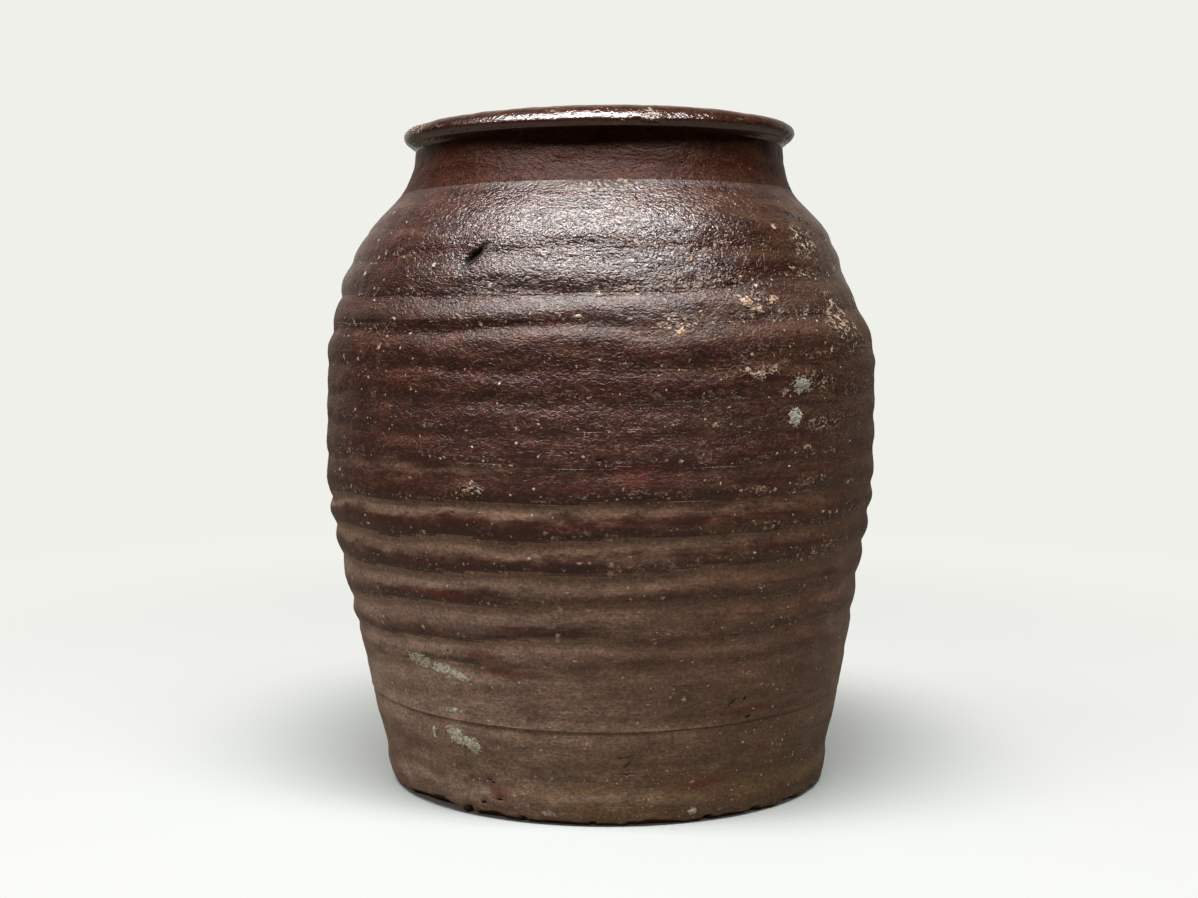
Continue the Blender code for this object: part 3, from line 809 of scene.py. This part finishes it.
def add_rim(material):
    """The rolled rim: slanted underside, worn nose and crest, then its inner face and joint."""
    inner_face = float(inner_radius(WALL_TOP))
    nose = NECK_RADIUS + RIM_OVERHANG
    low = np.full((1, SEGMENTS), WALL_TOP)
    section = Section()
    section.add_wall(low)
    front = np.maximum(np.cos(ANGLES), 0) ** DROOP_SHARPNESS
    shares = np.linspace(0, 1, ROLL_ROWS)[1:, None]
    inwards, rise = rim_outline(shares, front)
    radius = nose - inwards * (nose - inner_face) / RIM_FRONT_SECTION[-1][0]
    height = WALL_TOP + rise * MM
    next_inwards, next_rise = rim_outline(shares + RIM_AHEAD_SHARE, front)
    facing = np.arctan2(next_inwards - inwards, next_rise - rise)
    upper = smooth_step(-0.1, 0.7, facing)
    around = points_round(ANGLES, radius, height)
    depth, dents = rim_wear(around, shares, upper)
    radius = radius - depth * np.cos(facing)
    height = height - depth * np.sin(facing)
    _, looks = wall_section(ANGLES, np.full(height.shape, WALL_TOP))
    fields, mark_relief = mark_fields(ANGLES + 0 * height, height)
    edge = smooth_step(0.10, 0.80, dents / MM) * upper
    looks = {**looks, **fields, "phase": 0.5 + 0 * height, "edge": edge}
    radius = radius + mark_relief * rim_fade(shares) * np.cos(facing)
    height = height + mark_relief * rim_fade(shares) * np.sin(facing)
    section.add(radius, height, smooth_step(*RIM_INSIDE_SHARES, shares), looks)
    down = rows_between(low[0], height[-1], OUTER_ROW)[::-1][1:]
    section.add(inner_face, down, 1.0)
    joint_row(section, WALL_TOP + 0 * ANGLES, 1.0, above=False)
    return add_piece("rim_roll", section, False, material)


class Nodes:
    """Short calls that add nodes to a node tree."""

    def __init__(self, tree):
        self.tree = tree

    def node(self, kind, **settings):
        made = self.tree.nodes.new(kind)
        for name, value in settings.items():
            setattr(made, name, value)
        return made

    def plug(self, socket, value):
        """Link a socket's output or set a plain value."""
        if isinstance(value, bpy.types.NodeSocket):
            self.tree.links.new(value, socket)
        elif isinstance(value, tuple) and socket.type == "RGBA":
            socket.default_value = (*value, 1.0)
        else:
            socket.default_value = value

    def plugged(self, made, values):
        """Plug values into a node's first inputs and give its first output."""
        for socket, value in zip(made.inputs, values):
            self.plug(socket, value)
        return made.outputs[0]

    def math(self, operation, *values):
        return self.plugged(self.node("ShaderNodeMath", operation=operation), values)

    def vector(self, operation, *values):
        return self.plugged(self.node("ShaderNodeVectorMath", operation=operation), values)

    def add(self, first, *others):
        for other in others:
            first = self.math("ADD", first, other)
        return first

    def times(self, first, *others):
        for other in others:
            first = self.math("MULTIPLY", first, other)
        return first

    def most(self, first, *others):
        for other in others:
            first = self.math("MAXIMUM", first, other)
        return first

    def step(self, low, high, value, first=0.0, last=1.0):
        """From first to last as value goes smoothly from low to high."""
        made = self.node("ShaderNodeMapRange", interpolation_type="SMOOTHSTEP", clamp=True)
        inputs = {"Value": value, "From Min": low, "From Max": high, "To Min": first, "To Max": last}
        for name, socket_value in inputs.items():
            self.plug(made.inputs[name], socket_value)
        return made.outputs["Result"]

    def ramp(self, limits, value):
        """A step whose limits are given together: from, to, and the result at each."""
        low, high, first, last = limits
        return self.step(low, high, value, first, last)

    def mix(self, share, first, second, blend="MIX"):
        """A colour between first and second."""
        made = self.node("ShaderNodeMix", data_type="RGBA", blend_type=blend)
        self.plug(made.inputs[0], share)
        self.plug(made.inputs[6], first)
        self.plug(made.inputs[7], second)
        return made.outputs[2]

    def toned(self, colour, tone):
        """A colour made lighter or darker."""
        return self.mix(1.0, colour, tone, "MULTIPLY")


class Finish(Nodes):
    """A node material with noise and grains, whose sizes are in millimetres."""

    def __init__(self, name):
        self.material = bpy.data.materials.new(name)
        self.material.use_nodes = True
        super().__init__(self.material.node_tree)
        self.shader = self.tree.nodes["Principled BSDF"]
        place_in_object = self.node("ShaderNodeTexCoord").outputs["Object"]
        self.millimetres = self.vector("MULTIPLY", place_in_object, (1 / MM,) * 3)

    def look(self, name):
        return self.node("ShaderNodeAttribute", attribute_name=name).outputs["Fac"]

    def noise_node(self, across, up, detail, roughness, distortion, shift):
        scaled = self.vector("MULTIPLY", self.millimetres, (1 / across, 1 / across, 1 / up))
        made = self.node("ShaderNodeTexNoise", noise_dimensions="3D")
        self.plug(made.inputs["Vector"], self.vector("ADD", scaled, (shift,) * 3))
        settings = {"Scale": 1.0, "Detail": detail, "Roughness": roughness, "Distortion": distortion}
        for name, value in settings.items():
            made.inputs[name].default_value = value
        return made

    def noise(self, *settings):
        """Noise from 0 to 1 whose lumps reach so far across sideways and up in height."""
        return self.noise_node(*settings).outputs["Fac"]

    def swing(self, noise, amount):
        """Noise turned into a value to both sides of 0."""
        return self.times(self.math("SUBTRACT", noise, 0.5), amount)

    def grains(self, size, smallest, largest, shift):
        """Scattered grains, size apart: 1 in a grain and 0 outside, and a random number for each."""
        bend = self.noise_node(*GRAIN_BEND, shift).outputs["Color"]
        bent = self.vector("MULTIPLY", self.vector("SUBTRACT", bend, (0.5,) * 3), (largest * 1.8,) * 3)
        scaled = self.vector("MULTIPLY", self.vector("ADD", self.millimetres, bent), (1 / size,) * 3)
        made = self.node("ShaderNodeTexVoronoi", voronoi_dimensions="3D", feature="F1")
        self.plug(made.inputs["Vector"], self.vector("ADD", scaled, (shift,) * 3))
        made.inputs["Scale"].default_value = 1.0
        colour = self.node("ShaderNodeSeparateColor")
        self.plug(colour.inputs[0], made.outputs["Color"])
        reach = self.add(self.times(colour.outputs[0], (largest - smallest) / size), smallest / size)
        past = self.math("SUBTRACT", made.outputs["Distance"], reach)
        return self.step(0.02, -0.06, past), colour.outputs[1]

    def finish(self, colour, roughness, relief, gloss):
        """Plug the colour and roughness, and relief in millimetres, into the shader."""
        bump = self.node("ShaderNodeBump")
        bump.inputs["Strength"].default_value = 1.0
        bump.inputs["Distance"].default_value = MM
        self.plug(bump.inputs["Height"], relief)
        self.plug(self.shader.inputs["Base Color"], colour)
        self.plug(self.shader.inputs["Roughness"], roughness)
        self.plug(self.shader.inputs["Normal"], bump.outputs["Normal"])
        self.shader.inputs["Specular IOR Level"].default_value = gloss
        self.shader.inputs["IOR"].default_value = GLAZE_IOR
        return self.material


def fired(red, green, blue):
    """A colour written as red, green and blue out of 255, as light."""
    return tuple((part / 255 / 12.92) if part < 11 else ((part / 255 + 0.055) / 1.055) ** 2.4
                 for part in (red, green, blue))


DEEP_RED = fired(48, 14, 7)
RED_BROWN = fired(70, 34, 20)
BROWN = fired(80, 54, 37)
UMBER = fired(88, 62, 44)
# Grey slip, also used for painted sheen on the flecks and painted glints on the rings.
GREY_SLIP_AND_SHEEN = fired(110, 88, 72)
# Pale slip, and painted sheen on the flanks.
PALE_SLIP_AND_SHEEN = fired(144, 124, 110)
SHADE = fired(58, 26, 13)
OCHRE = fired(98, 77, 46)
MAUVE = fired(92, 62, 52)
RUST = fired(84, 24, 12)
MORTAR = fired(186, 186, 170)
MORTAR_GREY = fired(132, 132, 116)
TAN = fired(180, 152, 126)
TAN_DARK = fired(112, 80, 58)
GRIT = fired(196, 178, 158)
GRIT_BROWN = fired(146, 116, 92)
# Near-black: painted shade in pits, holes and gaps; cracks take it too.
PIT = fired(13, 7, 5)
BARE = fired(116, 84, 60)
BARE_DARK = fired(82, 56, 40)
ASH = fired(140, 120, 100)
INNER = fired(86, 58, 44)
GLAZE_IOR = 1.6
BARE_GLOSS = 0.35
SLIP_ROUGHNESS = 0.48

# Noises: reach sideways and up in millimetres, detail, roughness, distortion and shift. The noise that bends
# the grains out of round takes their shift.
WALL_NOISES = {
    "broad": (60, 26, 3.0, 0.5, 0.0, 0.0),
    "band": (48, 3.4, 3.0, 0.55, 0.0, 3.1),
    "cloud": (14, 5, 3.0, 0.6, 0.0, 5.7),
    "comb": (30, 0.9, 2.0, 0.5, 0.0, 7.7),
    "wrinkle": (2.7, 1.8, 1.0, 0.5, 0.7, 9.2),
    "grain": (1.4, 1.1, 1.0, 0.5, 0.0, 1.7),
    "crumb": (2.5, 1.7, 2.0, 0.55, 1.2, 13.3),
    "stain": (26, 10, 3.0, 0.6, 0.0, 17.9),
    "blotch": (18, 7, 4.0, 0.65, 0.0, 6.6),
    "patch": (20, 6, 2.0, 0.5, 0.0, 15.1),
    "waver": (3.0, 2.0, 2.0, 0.5, 0.0, 4.4),
}
BARE_NOISES = {
    "cloud": (22, 22, 4.0, 0.6, 0.0, 0.0),
    "fleck": (1.6, 1.2, 3.0, 0.6, 0.0, 2.3),
    "grain": (0.7, 0.7, 2.0, 0.6, 0.0, 8.1),
}
GRAIN_BEND = (1.3, 1.0, 1.0, 0.5, 0.0)

# Grains: how far apart they lie, the smallest and the largest radius, in millimetres, and shift.
SMALL_GRIT = (2.2, 0.28, 0.65, 2.0)
LARGE_GRIT = (4.2, 0.55, 1.25, 6.0)
HOLES = (3.9, 0.20, 0.75, 12.0)
BARE_GRIT = (2.2, 0.2, 0.6, 3.0)

# What changes along the height of the wall: between which heights, in millimetres, and from what to what.
ALONG_HEIGHT = {
    "slip": (160, 92, -0.10, 0.88),
    # Pale slip and painted glints on the rings, by height.
    "pale_slip_and_glints_on_rings": (132, 160, 0.60, 0.10),
    # Pale slip and painted sheen on the flanks, by height.
    "pale_slip_and_sheen_on_sides": (140, 50, 0.0, 1.0),
    # Dark red glaze and painted shade under the rings, by height.
    "dark_red_and_shade_on_rings": (40, 90, 0.0, 0.75),
    "ochre": (46, 8, 0.0, 0.85),
    "mauve": (110, 70, 0.0, 0.5),
    "shade": (259, 270, 0.0, 0.80),
    "shoulder_tone": (195, 235, 1.0, 0.75),
    "slip_tone": (152, 112, 1.0, 1.27),
    "foot_tone": (85, 55, 1.0, 0.90),
    # Pale flecks and painted sheen, by height.
    "flecks_and_sheen": (110, 160, 0.15, 0.38),
    "flecks_and_sheen_fade": (190, 230, 1.0, 0.3),
    "grit": (60, 110, 0.5, 1.0),
    "grit_fade": (262, 215, 0.15, 1.0),
    "foot_grit": (70, 35, 0.0, 0.24),
    "holes": (120, 220, 0.02, 0.12),
    "mortar_tone": (90, 150, 1.3, 0.85),
    "ground_wear": (7, 1, 0.0, 1.0),
    "roughness": (212, 230, 0.46, 0.27),
    "rim_roughness": (280, 288, 1.0, 0.75),
    "dryness": (260, 265, 0.0, 1.0),
    "wrinkles": (150, 235, 0.22, 0.54),
    "rim_wrinkles": (278, 288, 1.0, 0.7),
    "crackle": (120, 170, 0.1, 0.60),
    "crackle_fade": (225, 250, 1.0, 0.75),
    "crackle_end": (285, 275, 0.0, 1.0),
}


class WallFinish(Finish):
    """A finish of the wall, with the fields on its mesh, its noises and its height at hand."""

    def __init__(self, name):
        super().__init__(name + "_finish")
        for field in ("phase", "ring", "left", "inside", "edge"):
            setattr(self, field, self.look(field))
        for field, noise in WALL_NOISES.items():
            setattr(self, field, self.noise(*noise))
        self.outside = self.math("SUBTRACT", 1.0, self.inside)
        self.level = self.times(self.look("level"), 1 / MM)

    def along(self, name, *wander):
        """What ALONG_HEIGHT gives at this height, which wander shifts up or down."""
        return self.ramp(ALONG_HEIGHT[name], self.add(self.level, *wander))


def glaze_colour(f):
    """Red glaze, and pale slip on the rings and near the foot; painted shade under the rings, painted glints
    on them and painted sheen on the flanks; and the share of slip and glints.
    """
    flank = f.step(0.70, 0.95, f.add(f.left, f.swing(f.broad, 0.5)), 0.36, 1.20)
    drooping = f.add(f.phase, f.swing(f.cloud, 0.28), f.swing(f.wrinkle, 0.12))
    # Dark band just above each groove, on the ring's underside: dark red glaze and painted shade, strongest
    # on the left flank.
    dark = f.times(f.step(0.80, 0.04, drooping), f.step(-0.02, 0.10, f.phase), f.ring, flank)
    # Pale band just below each groove, on the ring's upper side: pale slip and painted glints.
    light = f.times(f.step(0.42, 0.90, drooping), f.step(1.03, 0.88, f.phase), f.ring)
    light = f.times(light, f.add(f.times(flank, 0.4), 0.6))
    slip = f.add(
        f.along("slip"),
        f.times(light, f.along("pale_slip_and_glints_on_rings")),
        f.times(dark, -0.75),
        f.swing(f.band, 0.8),
        f.swing(f.cloud, 1.0),
        f.swing(f.left, 0.4),
    )
    slip_and_glint_share = f.step(0.2, 0.9, slip)
    red = f.mix(f.step(0.35, 0.68, f.cloud), DEEP_RED, RED_BROWN)
    red = f.mix(f.step(0.38, 0.72, f.add(f.band, f.swing(f.left, -0.8))), red, BROWN)
    pale = f.mix(f.step(0.15, 0.90, f.add(f.left, f.swing(f.broad, 0.9))), UMBER, GREY_SLIP_AND_SHEEN)
    # Paler slip on both flanks, strongest near the foot: pale slip and painted sheen of the pale table.
    sides = f.add(f.step(0.65, 1.0, f.left, 0.05, 0.80), f.step(0.38, 0.12, f.left, 0.0, 0.60))
    pale = f.mix(f.times(f.along("pale_slip_and_sheen_on_sides"), sides), pale, PALE_SLIP_AND_SHEEN)
    colour = f.mix(slip_and_glint_share, red, pale)
    # Mix in the dark red glaze and painted shade under the rings.
    return f.mix(f.times(dark, f.along("dark_red_and_shade_on_rings")), colour, DEEP_RED), slip_and_glint_share


def stains_and_neck_shade(f, colour):
    """Ochre at the foot, mauve patches, rust stains, and painted shade on the neck under the rim."""
    ochre = f.times(f.along("ochre"), f.step(0.30, 0.62, f.add(f.cloud, f.swing(f.broad, 0.6))))
    colour = f.mix(ochre, colour, OCHRE)
    # Mauve patches on the lower body.
    colour = f.mix(f.times(f.step(0.50, 0.66, f.stain), f.along("mauve")), colour, MAUVE)
    rust = f.step(-0.35, 0.75, f.add(f.look("rust"), f.swing(f.cloud, 1.6)), 0.0, 0.65)
    colour = f.mix(rust, colour, RUST)
    # Painted shade: the neck darkens towards the rim, as in the rim's shadow.
    return f.mix(f.times(f.along("shade", f.swing(f.cloud, 8)), f.outside), colour, SHADE)


def mottled(f, colour):
    """Tones that change up the wall and round it, the unevenness of the glaze, and pale flecks that are
    partly painted sheen.
    """
    for name in ("shoulder_tone", "slip_tone", "foot_tone"):
        colour = f.toned(colour, f.along(name))
    colour = f.toned(colour, f.step(0.15, 0.75, f.left, 0.72, 1.0))
    colour = f.toned(colour, f.step(0.28, 0.72, f.grain, 0.72, 1.28))
    colour = f.toned(colour, f.step(0.30, 0.70, f.comb, 0.96, 1.04))
    colour = f.toned(colour, f.step(0.30, 0.70, f.wrinkle, 0.86, 1.14))
    # Pale grey flecks on the raised crackle: pale slip and painted sheen of the wrinkled glaze.
    flecks_and_sheen = f.times(f.step(0.50, 0.64, f.crumb), f.along("flecks_and_sheen"), f.along("flecks_and_sheen_fade"))
    flecks_and_sheen = f.times(flecks_and_sheen, f.step(0.35, 0.60, f.cloud, 0.4, 1.0), f.outside)
    colour = f.mix(flecks_and_sheen, colour, GREY_SLIP_AND_SHEEN)
    return f.toned(colour, f.step(0.25, 0.75, f.blotch, 0.72, 1.28))


def gritty(f, colour):
    """Grit, flakes and holes, most of them along the grooves, with painted shade in the holes and in the gaps
    between flakes; and their masks.
    """
    near = f.times(f.most(f.step(0.45, 0.06, f.phase), f.step(0.86, 0.98, f.phase)), f.ring)
    zone = f.times(f.along("grit"), f.along("grit_fade"))
    zone = f.times(zone, f.step(0.30, 0.62, f.add(f.cloud, f.swing(f.broad, 0.5)), 0.35, 1.3))
    small, small_chance = f.grains(*SMALL_GRIT)
    large, large_chance = f.grains(*LARGE_GRIT)
    hole, hole_chance = f.grains(*HOLES)
    small_wanted = f.add(f.times(f.add(f.times(near, 0.42), 0.06), zone), f.along("foot_grit"))
    large_wanted = f.times(f.add(f.times(near, 0.40), 0.02), zone)
    small = f.times(small, f.math("LESS_THAN", small_chance, small_wanted))
    large = f.times(large, f.math("LESS_THAN", large_chance, large_wanted))
    hole = f.times(hole, f.math("LESS_THAN", hole_chance, f.along("holes")))
    crust = f.times(near, zone, f.step(0.44, 0.62, f.patch), f.step(0.9, 0.1, f.left, 0.45, 1.0))
    crust = f.most(crust, f.step(-0.25, 0.5, f.add(f.look("crust"), f.swing(f.cloud, 1.2))))
    crust = f.times(crust, f.outside)
    flake = f.times(f.step(0.53, 0.61, f.crumb), crust)
    # Gaps between the raised flakes: painted shade in the hollows.
    gap_shade = f.times(f.step(0.46, 0.38, f.crumb), crust, 0.7)
    grit = f.times(f.most(small, large), f.outside)
    colour = f.mix(grit, colour, f.mix(f.step(0.35, 0.60, f.grain), GRIT_BROWN, GRIT))
    flake_share = f.times(flake, f.step(0.30, 0.60, f.grain, 0.35, 1.0))
    colour = f.mix(flake_share, colour, f.mix(f.grain, GRIT_BROWN, GRIT))
    # Holes and gaps take the near-black colour: painted shade.
    return f.mix(f.most(f.times(hole, 0.8), gap_shade), colour, PIT), (grit, flake, crust, hole)


def line(f, name, half_width, fade):
    """A wavering line along the lines of one kind, which thins out over fade millimetres at its ends."""
    side = f.math("ABSOLUTE", f.add(f.look(name), f.swing(f.waver, 1.2)))
    return f.times(f.step(0.42, half_width, side), f.step(0.5, -fade, f.look(name + "_end")))


def marked(f, colour):
    """Mortar, tan scabs, wear, pits, cracks and scratches; and the masks of those with relief."""
    mortar = f.step(0.0, 0.12, f.add(f.look("mortar"), f.swing(f.crumb, 1.8), f.swing(f.grain, 0.6)))
    mortar_colour = f.toned(f.mix(f.step(0.35, 0.65, f.grain), MORTAR_GREY, MORTAR), f.along("mortar_tone"))
    colour = f.mix(mortar, colour, mortar_colour)
    tan = f.step(0.0, 0.20, f.add(f.look("tan"), f.swing(f.crumb, 4.2), f.swing(f.grain, 0.8)))
    colour = f.mix(tan, colour, f.mix(f.step(0.35, 0.62, f.grain), TAN_DARK, TAN))
    ground = f.times(f.along("ground_wear"), f.outside, f.step(0.45, 0.60, f.crumb, 0.0, 0.7))
    worn = f.step(0.35, 0.75, f.add(f.edge, f.swing(f.crumb, 1.2), f.swing(f.cloud, 0.6)))
    worn = f.most(f.times(worn, f.step(0.35, 0.6, f.wrinkle, 0.3, 1.0)), ground)
    colour = f.mix(f.times(worn, 0.7), colour, f.mix(f.grain, BARE_DARK, ASH))
    pit = f.step(0.0, 0.25, f.add(f.look("pit"), f.swing(f.wrinkle, 0.9), f.swing(f.crumb, 1.4)))
    crack = line(f, "crack", 0.12, 1.5)
    scratch = line(f, "scratch", 0.10, 2.0)
    # Pits are painted near-black: painted shade inside them. Cracks take the same dark colour.
    colour = f.mix(f.most(pit, f.times(crack, 0.85)), colour, PIT)
    return f.mix(f.times(scratch, 0.7), colour, ASH), (mortar, tan, pit, crack)


def wall_finish(name):
    """Iron glaze and slip over a piece's gritty clay."""
    f = WallFinish(name)
    colour, slip_and_glint_share = glaze_colour(f)
    colour, (grit, flake, crust, hole) = gritty(f, mottled(f, stains_and_neck_shade(f, colour)))
    colour, (mortar, tan, pit, crack) = marked(f, colour)
    inner_colour = f.mix(f.step(0.35, 0.65, f.band), BARE_DARK, INNER)
    inner_colour = f.mix(f.step(0.62, 0.75, f.wrinkle, 0.0, 0.5), inner_colour, ASH)
    colour = f.mix(f.inside, colour, inner_colour)

    shine = f.times(f.along("roughness"), f.along("rim_roughness"))
    rough = f.step(0.1, 0.9, f.add(slip_and_glint_share, f.swing(f.cloud, 0.5)), shine, SLIP_ROUGHNESS)
    dry = f.along("dryness", f.swing(f.cloud, 10), f.swing(f.crumb, 5))
    rough = f.add(
        rough,
        f.times(dry, DRYNESS.get(name, 0.0)),
        f.times(f.most(mortar, tan, grit, flake), 0.25),
        f.times(pit, 0.9),
        f.times(f.inside, 0.2),
    )
    wrinkled = f.times(f.along("wrinkles"), f.along("rim_wrinkles"))
    crumbled = f.times(f.along("crackle"), f.along("crackle_fade"), f.along("crackle_end"))
    relief = f.add(
        f.times(f.math("ABSOLUTE", f.math("SUBTRACT", f.wrinkle, 0.5)), wrinkled, -1.0),
        f.times(f.grain, wrinkled, 0.30),
        f.times(f.crumb, f.add(f.times(crust, 0.8), crumbled)),
        f.times(f.comb, 0.05),
        f.times(f.band, 0.20),
        f.times(grit, 0.18),
        f.times(hole, -0.25),
        f.times(mortar, 0.35),
        f.times(tan, 0.25),
        f.times(pit, -0.45),
        f.times(crack, -0.30),
    )
    return f.finish(colour, rough, relief, GLOSS[name])


def bare_finish(name):
    """Bare fired clay, gritty, with ash that settled on the floor."""
    f = Finish(name)
    cloud, fleck, grain = (f.noise(*noise) for noise in BARE_NOISES.values())
    grit, chance = f.grains(*BARE_GRIT)
    grit = f.times(grit, f.math("LESS_THAN", chance, 0.35))
    colour = f.mix(f.step(0.35, 0.65, cloud), BARE_DARK, BARE)
    colour = f.mix(f.step(0.6, 0.8, fleck, 0.0, 0.6), colour, ASH)
    colour = f.toned(colour, f.mix(grain, (0.7, 0.7, 0.7), (1.3, 1.3, 1.3)))
    colour = f.mix(grit, colour, GRIT)
    relief = f.add(f.times(fleck, 0.35), f.times(grain, 0.12), f.times(grit, 0.2))
    return f.finish(colour, f.step(0.3, 0.7, grain, 0.68, 0.86), relief, BARE_GLOSS)


# Studio: metres, degrees and watts. Lamps: name, place, size, power and colour.
CAMERA_PLACE = (-0.0007, -0.772, 0.193)
CAMERA_DIP = math.radians(3.2)
LENS = 49.9
SENSOR_WIDTH = 36.0
LAMPS = (
    ("key_lamp", (-0.06, -0.45, 1.32), (1.60, 0.40), 49.0, (1.0, 0.98, 0.965)),
    ("fill_lamp", (-1.10, -0.28, 1.25), (0.8, 0.6), 2.5, (1.0, 0.96, 0.92)),
)
AIM = (0.0, 0.0, 0.17)

# The surroundings grow lighter towards the back and darker towards the right: from, to, and how light.
SURROUNDINGS = (1.0, 0.90, 0.80)
LIGHTER_BEHIND = (0.38, 0.92, 0.02, 0.62)
DARKER_RIGHT = (-0.2, 0.8, 1.0, 0.55)

# The table top: colours, and distances in millimetres over which the shadow fades and the far colour begins.
STAGE_REACH = 5.0
STAGE_CUTS = 8
BACKDROP = fired(240, 240, 234)
TABLE_TOP = fired(250, 250, 245)
TABLE_SHADE = fired(176, 181, 180)
TABLE_BOUNCE = fired(118, 107, 95)
TABLE_ROUGHNESS = 0.6
TABLE_GLOSS = 0.2
SHADOW_SHIFT = (0.0, -60.0, 0.0)
SHADOW_STRETCH = (1.35, 1.0, 1.0)
NEAR_GLOW = (160, 320, 0.04)
FAR_GLOW = (300, 1000, 0.6, 1.0)
FAR_COLOUR = (350, 1200)


def add_camera():
    camera = bpy.data.objects.new("camera", bpy.data.cameras.new("camera"))
    camera.data.lens = LENS
    camera.data.sensor_width = SENSOR_WIDTH
    camera.location = CAMERA_PLACE
    camera.rotation_euler = (math.pi / 2 - CAMERA_DIP, 0.0, 0.0)
    bpy.context.scene.collection.objects.link(camera)
    bpy.context.scene.camera = camera


def add_lamp(name, spot, size, power, colour):
    """A soft rectangular lamp that faces the jar."""
    data = bpy.data.lights.new(name, "AREA")
    data.shape = "RECTANGLE"
    data.size, data.size_y = size
    data.energy = power
    data.color = colour
    lamp = bpy.data.objects.new(name, data)
    bpy.context.scene.collection.objects.link(lamp)
    lamp.location = spot
    lamp.rotation_euler = (Vector(AIM) - lamp.location).to_track_quat("-Z", "Y").to_euler()


def add_table():
    """A pale table top that fades into the background."""
    cuts = {"x_subdivisions": STAGE_CUTS, "y_subdivisions": STAGE_CUTS}
    bpy.ops.mesh.primitive_grid_add(size=2 * STAGE_REACH, **cuts)
    table = bpy.context.object
    table.name = "table_top"
    table.data.materials.append(table_finish())


def add_surroundings():
    """A world that is dim in front of the jar, and a plain pale background where the camera sees it."""
    world = bpy.data.worlds.new("studio")
    bpy.context.scene.world = world
    world.use_nodes = True
    w = Nodes(world.node_tree)
    direction = w.node("ShaderNodeSeparateXYZ")
    w.plug(direction.inputs[0], w.node("ShaderNodeTexCoord").outputs["Generated"])
    lightness = w.times(
        w.ramp(LIGHTER_BEHIND, direction.outputs["Y"]),
        w.ramp(DARKER_RIGHT, direction.outputs["X"]),
    )
    seen = w.node("ShaderNodeLightPath").outputs["Is Camera Ray"]
    colour = w.mix(seen, w.vector("MULTIPLY", lightness, SURROUNDINGS), BACKDROP)
    w.plug(w.tree.nodes["Background"].inputs["Color"], colour)


def table_finish():
    """Pale matt table that keeps the jar's shadow near it and turns into the background further away."""
    f = Finish("table_top")
    seen = f.node("ShaderNodeLightPath").outputs["Is Camera Ray"]
    f.plug(f.shader.inputs["Base Color"], f.mix(seen, TABLE_BOUNCE, TABLE_SHADE))
    f.shader.inputs["Roughness"].default_value = TABLE_ROUGHNESS
    f.shader.inputs["Specular IOR Level"].default_value = TABLE_GLOSS
    away = f.node("ShaderNodeVectorMath", operation="LENGTH")
    f.plug(away.inputs[0], f.vector("MULTIPLY", f.vector("ADD", f.millimetres, SHADOW_SHIFT), SHADOW_STRETCH))
    distance = away.outputs["Value"]
    glow = f.node("ShaderNodeEmission")
    f.plug(glow.inputs["Color"], f.mix(f.step(*FAR_COLOUR, distance), TABLE_TOP, BACKDROP))
    near, far, least = NEAR_GLOW
    blend = f.node("ShaderNodeMixShader")
    f.plug(blend.inputs[0], f.times(seen, f.step(near, far, distance, least, f.ramp(FAR_GLOW, distance))))
    f.plug(blend.inputs[1], f.shader.outputs[0])
    f.plug(blend.inputs[2], glow.outputs[0])
    f.plug(f.tree.nodes["Material Output"].inputs["Surface"], blend.outputs[0])
    return f.material


def build():
    add_camera()
    bpy.context.scene.view_settings.view_transform = "Standard"
    add_floor(bare_finish("bare_clay"))
    add_foot(wall_finish("foot_course"))
    for (below, *_), (name, *_) in zip(COURSES[:-2], COURSES[1:-1]):
        add_course(name, below, wall_finish(name))
    add_rim(wall_finish("rim_roll"))
    for lamp in LAMPS:
        add_lamp(*lamp)
    add_table()
    add_surroundings()


build()
